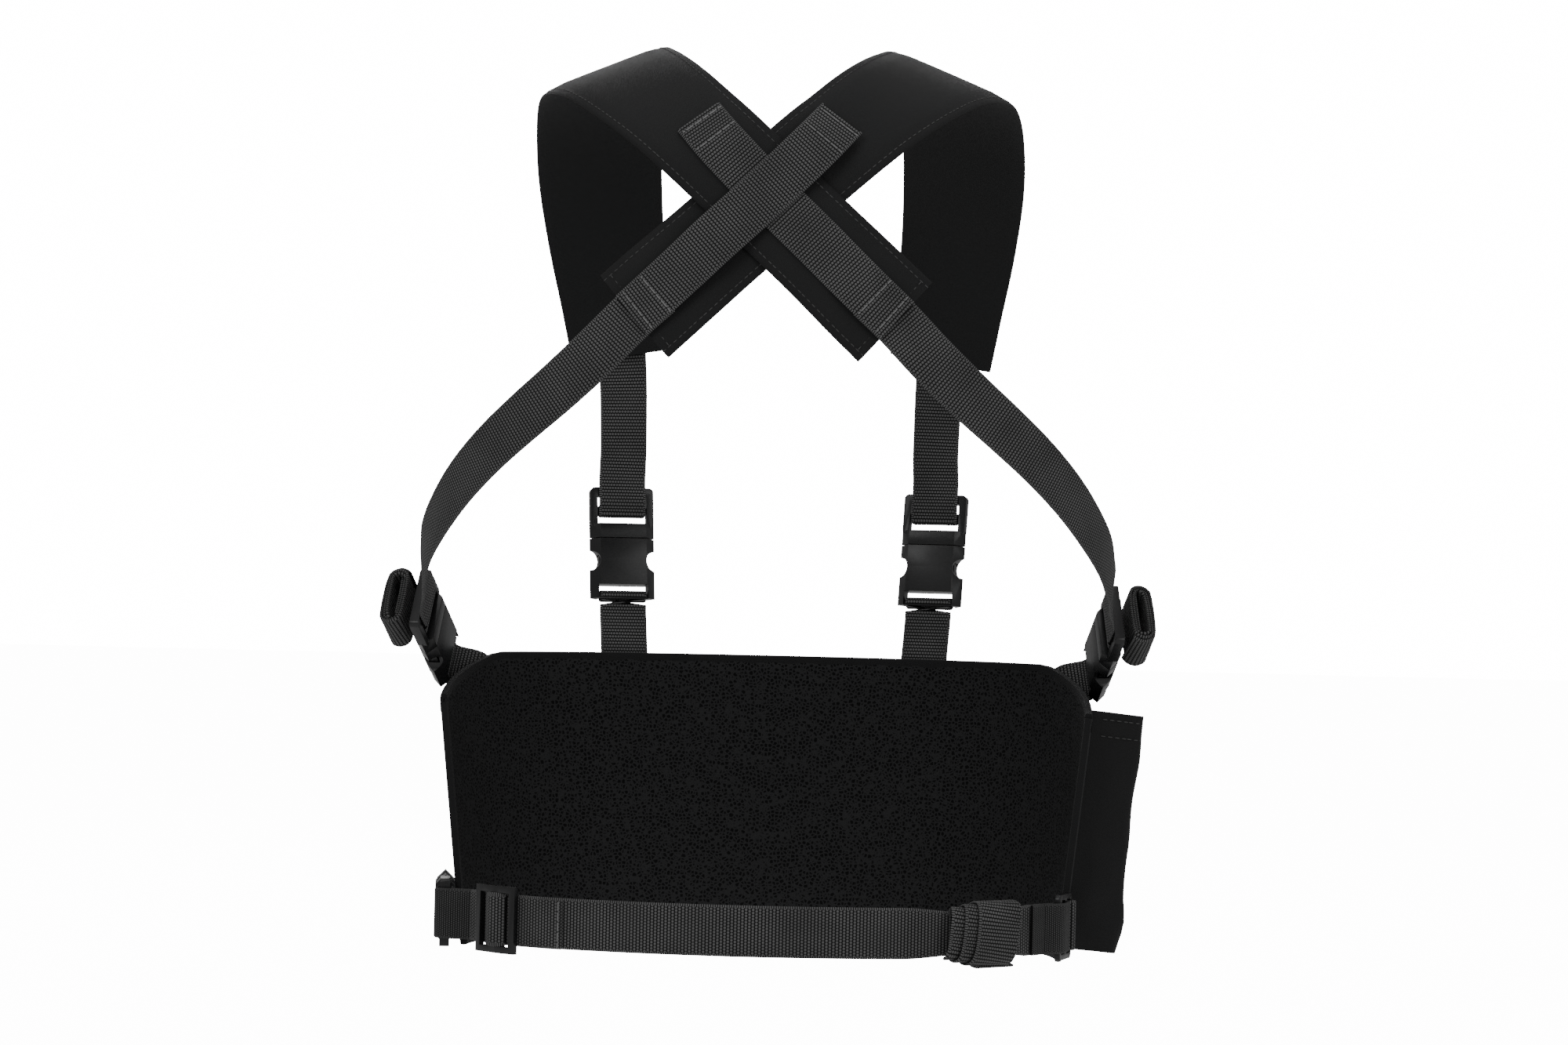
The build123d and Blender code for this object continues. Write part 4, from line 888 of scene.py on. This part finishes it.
class RIG_OT_waist_strap(bpy.types.Operator):
    """Makes the waist strap with its returned end, its wrapped end and the webbing at its buckles"""
    bl_idname = "rig.waist_strap"
    bl_label = "Waist strap"

    def execute(self, context):
        gathered = []
        for point, out in waist_run(LEAD_END, 180 - LEAD_END, 1.7):
            turn = degrees(atan2(point.y, point.x + SIDE_CENTRE))
            pinch = max(0.0, min(1.0, (turn - 100) / 14)) * max(0.0, min(1.0, (142 - turn) / 10))
            gathered.append((point, out, 1 - 0.16 * pinch))
        strap("waist_run", gathered, replaces=("waist_strap",))
        strap("waist_return_strap", waist_run(LEAD_END, RETURN_END, RETURN_IN + 0.7),
              replaces=("waist_return",))
        bm = bmesh.new()
        end = waist_run(RETURN_END - 8, RETURN_END, RETURN_IN + 0.7)
        bar_tack(bm, end, 11.0, 11.0, WEB_T / 2 + 0.1, rows=1)
        finish_piece("waist_return_tack", bm, finish_named("tack thread"), "rig")

        left = run_seat(WAIST_SEAM, 0, WAIST_LIFT, 0)
        for name, seat, bar, frame_end, past, side, child, node_name in (
                ("left", left, LADDER_BAR, TONGUE_L, UNDER_FRAME, 1, "tongue_waist", "waist_lead_left"),
                ("right", run_seat(LADDER_AT, 0, LOCK_LIFT, 0, -1), LOCK_BARS[1], LOCK_BARS[2][1],
                 BAR_T / 2 + LAYER_GAP + WEB_T / 2, -1, "ladder_lock", "waist_lead_right")):
            angle = LEAD_END - 0.3
            inner = (form_point(angle, 0, 1.7, side), form_out(angle, side))
            outer = (form_point(angle, 0, RETURN_IN + 0.7, side), form_out(angle, side))
            under = [inner, (seat.at(frame_end + 1.0, 0, -past), seat.out),
                     (seat.at(bar[1] + 0.6, 0, -past), seat.out)]
            over = [(seat.at(bar[1] + 0.6, 0, past), seat.out),
                    (seat.at(frame_end + 1.0, 0, past), seat.out), outer]
            loop = around_bar(seat, bar, LAYER_GAP, 180, 0)
            piece = strap(f"waist_lead_strap_{name}",
                          [(point, -out) for point, out in under] + loop + over, body=None, step=2.0,
                          replaces=(node_name,), material="webbing fine")
            seat.at(frame_end + 2, 0, 0) * MM
            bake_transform(piece)

        angles = (-32.0, -27.0, -22.0)
        points = [form_point(angle, 0, PANEL_SEAT + 0.7) for angle in angles]
        outs = [form_out(angle, 1, PANEL_LEAN) for angle in angles]
        strap("waist_anchor_strap_left", anchor_run(left, points, outs), replaces=("waist_anchor_left",))
        lock = run_seat(LADDER_AT, 0, LOCK_LIFT, 0, -1)
        angles = (-1.8, 1.0, 3.8)
        points = [form_point(angle, 0, PANEL_SEAT + 0.7, -1) for angle in angles]
        outs = [form_out(angle, -1, PANEL_LEAN) for angle in angles]
        strap("waist_anchor_strap_right",
              list(zip(points, outs)) + around_bar(lock, LOCK_BARS[0], 0.9, 90, -200),
              replaces=("waist_anchor_right",), step=2.0)

        glide_in = RETURN_IN + WEB_T + LAYER_GAP
        span = degrees(2.1 / (SIDE_RADIUS + glide_in))
        hump = [(form_point(GLIDE_AT - 3.2 * span, 0, glide_in + 0.9), form_out(GLIDE_AT)),
                (form_point(GLIDE_AT - 1.8 * span, 0, glide_in + 2.6), form_out(GLIDE_AT)),
                (form_point(GLIDE_AT, 0, glide_in + 3.9), form_out(GLIDE_AT)),
                (form_point(GLIDE_AT + 1.8 * span, 0, glide_in + 2.6), form_out(GLIDE_AT)),
                (form_point(GLIDE_AT + 3.2 * span, 0, glide_in + 0.9), form_out(GLIDE_AT))]
        strap("slider_strap", hump, "slider", ("triglide_webbing",), step=1.0, width=26.6)
        make_wrap()
        strap("waist_tail_strap", waist_run(180 - TAIL_END, 180 - LEAD_END, RETURN_IN + 0.7),
              replaces=("waist_tail_right",), material="webbing fine")
        return {"FINISHED"}


def make_wrap():
    """The strap's spare end, wound round the strap and itself in turns that step along it."""
    stations, turns, steps = [], 3, 20
    for index in range(turns * steps + 1):
        share = index / (turns * steps)
        turn = radians(360 * index / steps - 90)
        up, out = sin(turn), cos(turn)
        layer = WRAP_PITCH * share * turns
        angle = 180 - WRAP_FROM + (WRAP_FROM - WRAP_TO) * share + 0.7 * up
        height = (11.6 + layer) * copysign(abs(up) ** 0.75, up)
        lift = 5.6 + (4.4 + layer) * copysign(abs(out) ** 0.75, out)
        normal = form_out(angle) * out * 1.3 + Vector((0, 0, up))
        stations.append((form_point(angle, 0, lift) + Vector((0, 0, height)), normal.normalized()))
    strap("waist_wrap_turns", stations, replaces=("waist_wrap",), step=2.0)


class RIG_OT_panel(bpy.types.Operator):
    """Makes the curved chest panel with its mesh lining and edge binding"""
    bl_idname = "rig.panel"
    bl_label = "Chest panel"

    def execute(self, context):
        def top_at(angle):
            y = form_point(angle, 110, PANEL_FACE).y
            slope = (WING_TOP - PANEL_TOP) / (0 - WING_START_Y)
            return min(PANEL_TOP, max(WING_TOP, PANEL_TOP + (y - WING_START_Y) * slope))

        start, end = -180 - RIGHT_EDGE, LEFT_EDGE
        count = 96
        angles = [start + (end - start) * index / count for index in range(count + 1)]
        for name, inner, outer, finish, slot, nodes in (
                ("panel_shell", 2.5, 4.2, "pack cloth", "pack_fabric", ("panel_face", "panel_stiffener")),
                ("panel_lining", 0.6, 2.4, "mesh", "mesh", ("panel_liner",))):
            profile = [(0.0, inner + 0.5), (0.004, inner + 0.15), (0.02, inner)]
            profile += [(0.1 * step, inner) for step in range(1, 10)]
            profile += [(0.98, inner), (0.996, inner + 0.15), (1.0, inner + 0.5)]
            profile += [(x, inner + outer - y) for x, y in reversed(profile)]
            bm = bmesh.new()
            bm.verts.layers.float.new("along")
            ring = [bm.verts.new((x, y, 0)) for x, y in profile]
            edges = [bm.edges.new(pair) for pair in zip(ring, ring[1:] + ring[:1])]
            first, before = list(edges), Matrix.Identity(4)
            for index, angle in enumerate(angles):
                top = top_at(angle)
                low, high = form_point(angle, PANEL_BOTTOM, 0), form_point(angle, top, 0)
                place = Matrix((high - low, form_out(angle), form_out(angle + 90))).transposed().to_4x4()
                place.translation = low
                if index:
                    grown = bmesh.ops.extrude_edge_only(bm, edges=edges)["geom"]
                    verts = [item for item in grown if isinstance(item, bmesh.types.BMVert)]
                    edges = [item for item in grown
                             if isinstance(item, bmesh.types.BMEdge) and item.is_boundary]
                else:
                    verts = ring
                bmesh.ops.transform(bm, matrix=place @ before.inverted(), verts=verts)
                before = place
            for rim in (first, edges):
                bmesh.ops.edgeloop_fill(bm, edges=rim)
            bmesh.ops.scale(bm, vec=(MM, MM, MM), verts=bm.verts)
            finish_piece(name, bm, finish_named(finish), "rig", nodes)
        bm = bmesh.new()
        tape = [(-1.9, 0.3), (-1.5, 2.2), (0, 2.45), (1.5, 2.2), (1.9, 0.3), (1.9, -7), (1.55, -7.2),
                (1.5, -0.4), (-1.5, -0.4), (-1.55, -7.2), (-1.9, -7)]
        middle = 2.5
        for rim in ("bottom", "top"):
            line = []
            for angle in angles[::2]:
                height = PANEL_BOTTOM - 0.2 if rim == "bottom" else top_at(angle) + 0.2
                line.append((form_point(angle, height, middle), Vector((0, 0, -1 if rim == "bottom" else 1))))
            sweep_mesh(bm, line, tape)
        for angle, outwards in ((start, -1), (end, 1)):
            line = [(form_point(angle, height, middle), form_out(angle + 90) * outwards)
                    for height in (PANEL_BOTTOM, 20, 60, WING_TOP)]
            sweep_mesh(bm, line, tape)
        finish_piece("panel_binding", bm, finish_named("binding"), "rig")
        return {"FINISHED"}


def behind_seat(seat, x, y):
    """How far behind a seat the panel lies at a place."""
    low, high = -40.0, 6.0
    for _ in range(30):
        middle = (low + high) / 2
        if lift_of(seat.at(x, y, middle)) > PANEL_SEAT - 0.3:
            high = middle
        else:
            low = middle
    return (low + high) / 2


def pocket_mesh(seat, width, height, depth, bulge, wall, sag=0.0, corner=7.0):
    """A pocket: side walls and a front folded from one cloth, a floor, and an open top."""
    bm = bmesh.new()
    along, across = bm.verts.layers.float.new("along"), bm.verts.layers.float.new("across")
    half = width / 2
    plan = [(-half, -1.0), (-half, -0.5)]
    plan += [(-half, share) for share in (0.05, 0.2, 0.4, 0.6)]
    plan += [(-half + corner * (1 - cos(a)), 1 - (corner / depth) * (1 - sin(a)))
             for a in (radians(0), radians(22), radians(45), radians(68), radians(90))]
    plan += [(x * (half - corner), 1.0) for x in (-0.7, -0.45, -0.2)]
    plan = plan + [(0, 1.0)] + [(-x, z) for x, z in reversed(plan)]
    levels = 22
    ring = [bm.verts.new((x, z, 0)) for x, z in plan]
    edges = [bm.edges.new(pair) for pair in zip(ring, ring[1:])]
    lowest = list(edges)
    for level in range(levels):
        grown = bmesh.ops.extrude_edge_only(bm, edges=edges)["geom"]
        verts = [item for item in grown if isinstance(item, bmesh.types.BMVert)]
        edges = [item for item in grown if isinstance(item, bmesh.types.BMEdge)
                 and all(vert in verts for vert in item.verts)]
        bmesh.ops.translate(bm, verts=verts, vec=(0, 0, 1))
    for vert in bm.verts:
        x, z, level = vert.co
        share = level / levels
        y = share * height
        if z < 0:
            deep = behind_seat(seat, x, y) if z == -1.0 else behind_seat(seat, x, y) * 0.5
        else:
            puff = sin(pi * min(1.0, share * 1.1)) * bulge
            deep = z * (depth + puff * (1 - (x / half) ** 2) - bulge * 0.6)
            if sag:
                wave = noise.noise(Vector((x * 0.05 + 3.1, y * 0.035, z * 2.0))) * (1.25 - share)
                deep += wave * sag / MM * 1.6 * min(1, z * 2)
                x += noise.noise(Vector((y * 0.06, z * 3.0, x * 0.02))) * sag / MM * (1.2 - share)
        vert[along], vert[across] = y * MM, x * MM
        vert.co = seat.at(x, y, deep) * MM
    floor = lowest + [bm.edges.new((ring[0], ring[-1]))]
    bmesh.ops.edgeloop_fill(bm, edges=floor)
    bmesh.ops.recalc_face_normals(bm, faces=bm.faces)
    middle = seat.at(0, height / 2, depth / 2) * MM
    bm.normal_update()
    outer = max(bm.faces, key=lambda face: (face.calc_center_median() - middle).dot(seat.out))
    if outer.normal.dot(seat.out) < 0:
        bmesh.ops.reverse_faces(bm, faces=bm.faces)
    bmesh.ops.solidify(bm, geom=bm.faces[:], thickness=wall * MM)
    return bm


def hem_line(seat, width, depth, y, lift, corner=7.0):
    """Stations round a pocket's mouth at a height, just outside its cloth."""
    half = width / 2 + lift
    line = [(seat.at(-half, y, 2.0), seat.way(-1, 0, 0)),
            (seat.at(-half, y, depth * 0.6), seat.way(-1, 0, 0)),
            (seat.at(-half + 1.2, y, depth - 2.2), seat.way(-1, 0, 0.6)),
            (seat.at(-half + corner, y, depth + lift), seat.way(0, 0, 1)),
            (seat.at(0, y, depth + lift), seat.out)]
    line += [(seat.at(half - corner, y, depth + lift), seat.way(0, 0, 1)),
             (seat.at(half - 1.2, y, depth - 2.2), seat.way(1, 0, 0.6)),
             (seat.at(half, y, depth * 0.6), seat.way(1, 0, 0)), (seat.at(half, y, 2.0), seat.way(1, 0, 0))]
    return line


def cloth_patch(name, seat, x_half, y_low, y_high, z, thickness, material, body, nodes=(), corner=4.0):
    """A flat patch of tape with rounded corners."""
    bm = bmesh.new()
    bmesh.ops.create_grid(bm, x_segments=8, y_segments=8, size=1.0)
    for vert in bm.verts:
        x, y = vert.co.x * x_half, (vert.co.y + 1) / 2 * (y_high - y_low)
        if abs(vert.co.x) > 0.99 and abs(vert.co.y) > 0.99:
            x -= corner * 0.3 * (1 if x > 0 else -1)
            y += corner * 0.3 * (1 if vert.co.y < 0 else -1)
        vert.co = seat.at(x, y_low + y, z) * MM
    bmesh.ops.recalc_face_normals(bm, faces=bm.faces)
    bm.normal_update()
    bm.faces.ensure_lookup_table()
    if bm.faces[0].normal.dot(seat.out) < 0:
        bmesh.ops.reverse_faces(bm, faces=bm.faces)
    bmesh.ops.solidify(bm, geom=bm.faces[:], thickness=thickness * MM)
    return finish_piece(name, bm, finish_named(material), body, nodes)


class RIG_OT_pouches(bpy.types.Operator):
    """Makes the three flapped pouches on the front"""
    bl_idname = "rig.pouches"
    bl_label = "Front pouches"

    def execute(self, context):
        half = POUCH_W / 2
        for place, seat in front_pouch_seats().items():
            bm = pocket_mesh(seat, POUCH_W, POUCH_TOP, POUCH_DEPTH, 1.2, 1.1, corner=6.0)
            finish_piece(f"pouch_body_{place}", bm, finish_named("pack cloth"), "rig",
                         (f"pouch_{place}",), smooth=60)
            middle = POUCH_TOP - FLAP_DROP + 25
            cloth_patch(f"loop_patch_{place}", seat, 30, middle - 19, middle + 19, POUCH_DEPTH + 1.15, 0.8,
                        "hook tape", "rig", ("pouch_loops",))
            cloth_patch(f"hook_patch_{place}", seat, 30, middle - 19, middle + 19, POUCH_DEPTH + 2.5, 0.9,
                        "hook tape", f"cover_{place}", (f"flap_hook_{place}",))
            low, high = POUCH_TOP + 0.4 + 0.7, POUCH_DEPTH + 2.6 + 0.7
            shape = [(seat.at(0, low, -3.0), seat.up, 1), (seat.at(0, low, 1.5), seat.up, 1),
                     (seat.at(0, low + 0.2, 7.0), seat.up, 1), (seat.at(0, low, 22.0), seat.up, 1),
                     (seat.at(0, low - 0.8, high - 1.4), seat.way(0, 1, 0.6), 1),
                     (seat.at(0, low - 3.2, high), seat.out, 1),
                     (seat.at(0, low - 20, high + 0.1), seat.out, 1),
                     (seat.at(0, low - 40, high + 0.1), seat.out, 1),
                     (seat.at(0, POUCH_TOP - FLAP_DROP + 8, high), seat.out, 1),
                     (seat.at(0, POUCH_TOP - FLAP_DROP + 2.4, high), seat.out, 0.95),
                     (seat.at(0, POUCH_TOP - FLAP_DROP, high), seat.out, 0.83)]
            bm = bmesh.new()
            sweep_mesh(bm, through(shape, 3.0), flat_profile(2 * half + 3.0, 1.4))
            lid = finish_piece(f"flap_cover_{place}", bm, finish_named("pack cloth"), None,
                               (f"flap_{place}", "flap_strips"))
            seat.at(0, low, FLAP_HINGE - 1.5) * MM
            seat.at(0, low, FLAP_HINGE + 2.5) * MM
            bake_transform(lid)
            bm = bmesh.new()
            edge = half + 1.5 - 4
            hem = POUCH_TOP - FLAP_DROP
            corner = ((edge, low - 6), (edge, hem + 9), (edge - 2, hem + 5), (edge - 6, hem + 3.5))
            rim = [(seat.at(-x, y, high + 0.7), seat.out) for x, y in corner]
            rim += [(seat.at(x, y, high + 0.7), seat.out) for x, y in reversed(corner)]
            stitch_row(bm, rim, 3.4, 2.4, 0.6)
            finish_piece(f"flap_stitching_{place}", bm, finish_named("thread"), f"cover_{place}")
        return {"FINISHED"}


class RIG_OT_side_pouch(bpy.types.Operator):
    """Makes the open side pouch with its hem, strap and tab"""
    bl_idname = "rig.side_pouch"
    bl_label = "Side pouch"

    def execute(self, context):
        sag = context.scene.rig_sizes.sag
        seat = pouch_seat(SIDE_POUCH_AT, -1)
        bm = pocket_mesh(seat, SIDE_POUCH_W, SIDE_POUCH_H, SIDE_POUCH_DEPTH, 2.0, 1.1, sag, corner=5.0)
        finish_piece("side_pouch_body", bm, finish_named("pack cloth"), "rig", ("side_pouch",),
                     smooth=60)
        depth = SIDE_POUCH_DEPTH - 1.2
        bm = bmesh.new()
        for y in (SIDE_POUCH_H - 4.0, SIDE_POUCH_H - 12.5):
            stitch_row(bm, hem_line(seat, SIDE_POUCH_W, depth, y, 0.45), 3.6, 2.7, 0.7)
        finish_piece("side_pouch_stitching", bm, finish_named("thread"), "rig")
        face = SIDE_POUCH_DEPTH + 0.9
        strap("side_pouch_webbing", [(seat.at(0, 36, face), seat.out), (seat.at(0, 70, face + 0.3), seat.out),
                                     (seat.at(0, 104, face), seat.out)], replaces=("side_pouch_strap",))
        face += WEB_T + 0.5
        tab = [(seat.at(0, y, face + lift), seat.out) for y, lift in ((60, 0), (67, 0.9), (75, 0))]
        strap("side_pouch_loop_tab", tab, replaces=("side_pouch_tab",), width=12.0,
              thickness=1.2, material="grey tape")
        return {"FINISHED"}


def rounded_copy(name, node_name, edge, body):
    """A CAD part's own shape with its edges rounded over."""
    bm = bmesh.new()
    bm.from_mesh(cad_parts[node_name].data)
    bmesh.ops.remove_doubles(bm, verts=bm.verts, dist=0.00002)
    bmesh.ops.dissolve_limit(bm, angle_limit=radians(1.5), verts=bm.verts, edges=bm.edges)
    sharp = [item for item in bm.edges if len(item.link_faces) == 2 and item.calc_face_angle(0) > radians(28)]
    bmesh.ops.bevel(bm, geom=sharp, offset=edge, offset_type="OFFSET", affect="EDGES", segments=3,
                    profile=0.5, material=-1, clamp_overlap=True)
    return finish_piece(name, bm, finish_named("buckle plastic"), body, (node_name,), recalc=False)


class RIG_OT_buckles(bpy.types.Operator):
    """Gives the buckles, the slider and the ladder lock rounded edges and their plastic"""
    bl_idname = "rig.buckles"
    bl_label = "Buckles"

    def execute(self, context):
        edge = context.scene.rig_sizes.edge_round
        for place in ("side", "front"):
            for name in ("left", "right"):
                rounded_copy(f"{place}_buckle_body_{name}", f"{place}_shell_{name}", edge, "rig")
                rounded_copy(f"{place}_buckle_prongs_{name}", f"{place}_tongue_{name}", edge,
                             f"tongue_{place}_{name}")
        rounded_copy("waist_buckle_body", "waist_shell", edge, "rig")
        rounded_copy("waist_buckle_prongs", "waist_tongue", edge, "tongue_waist")
        rounded_copy("slider_frame", "triglide", edge, "slider")
        rounded_copy("ladder_lock_frame", "waist_ladder_lock", edge, "ladder_lock")
        return {"FINISHED"}


class RIG_PT_panel(bpy.types.Panel):
    """Lists the rig's pieces"""
    bl_idname = "RIG_PT_panel"
    bl_label = "Chest rig"
    bl_space_type = "VIEW_3D"
    bl_region_type = "UI"
    bl_category = "Chest rig"

    def draw(self, context):
        for operator in STEPS:
            self.layout.operator(operator.bl_idname)
        for group in (context.scene.rig_sizes, context.scene.rig_finish):
            for name in group.__annotations__:
                self.layout.prop(group, name)


STEPS = (RIG_OT_finishes, RIG_OT_stage, RIG_OT_yokes, RIG_OT_side_straps, RIG_OT_front_straps,
         RIG_OT_waist_strap, RIG_OT_panel, RIG_OT_pouches, RIG_OT_side_pouch, RIG_OT_buckles)
CLASSES = (RigFinish, RigSizes, *STEPS, RIG_PT_panel)


def register():
    for item in CLASSES:
        bpy.utils.register_class(item)
    bpy.types.Scene.rig_finish = bpy.props.PointerProperty(type=RigFinish)
    bpy.types.Scene.rig_sizes = bpy.props.PointerProperty(type=RigSizes)


def unregister():
    del bpy.types.Scene.rig_sizes
    del bpy.types.Scene.rig_finish
    for item in reversed(CLASSES):
        bpy.utils.unregister_class(item)


def main():
    register()
    for step in STEPS:
        getattr(bpy.ops.rig, step.bl_idname.split(".")[1])()


if __name__ == "__main__":
    main()
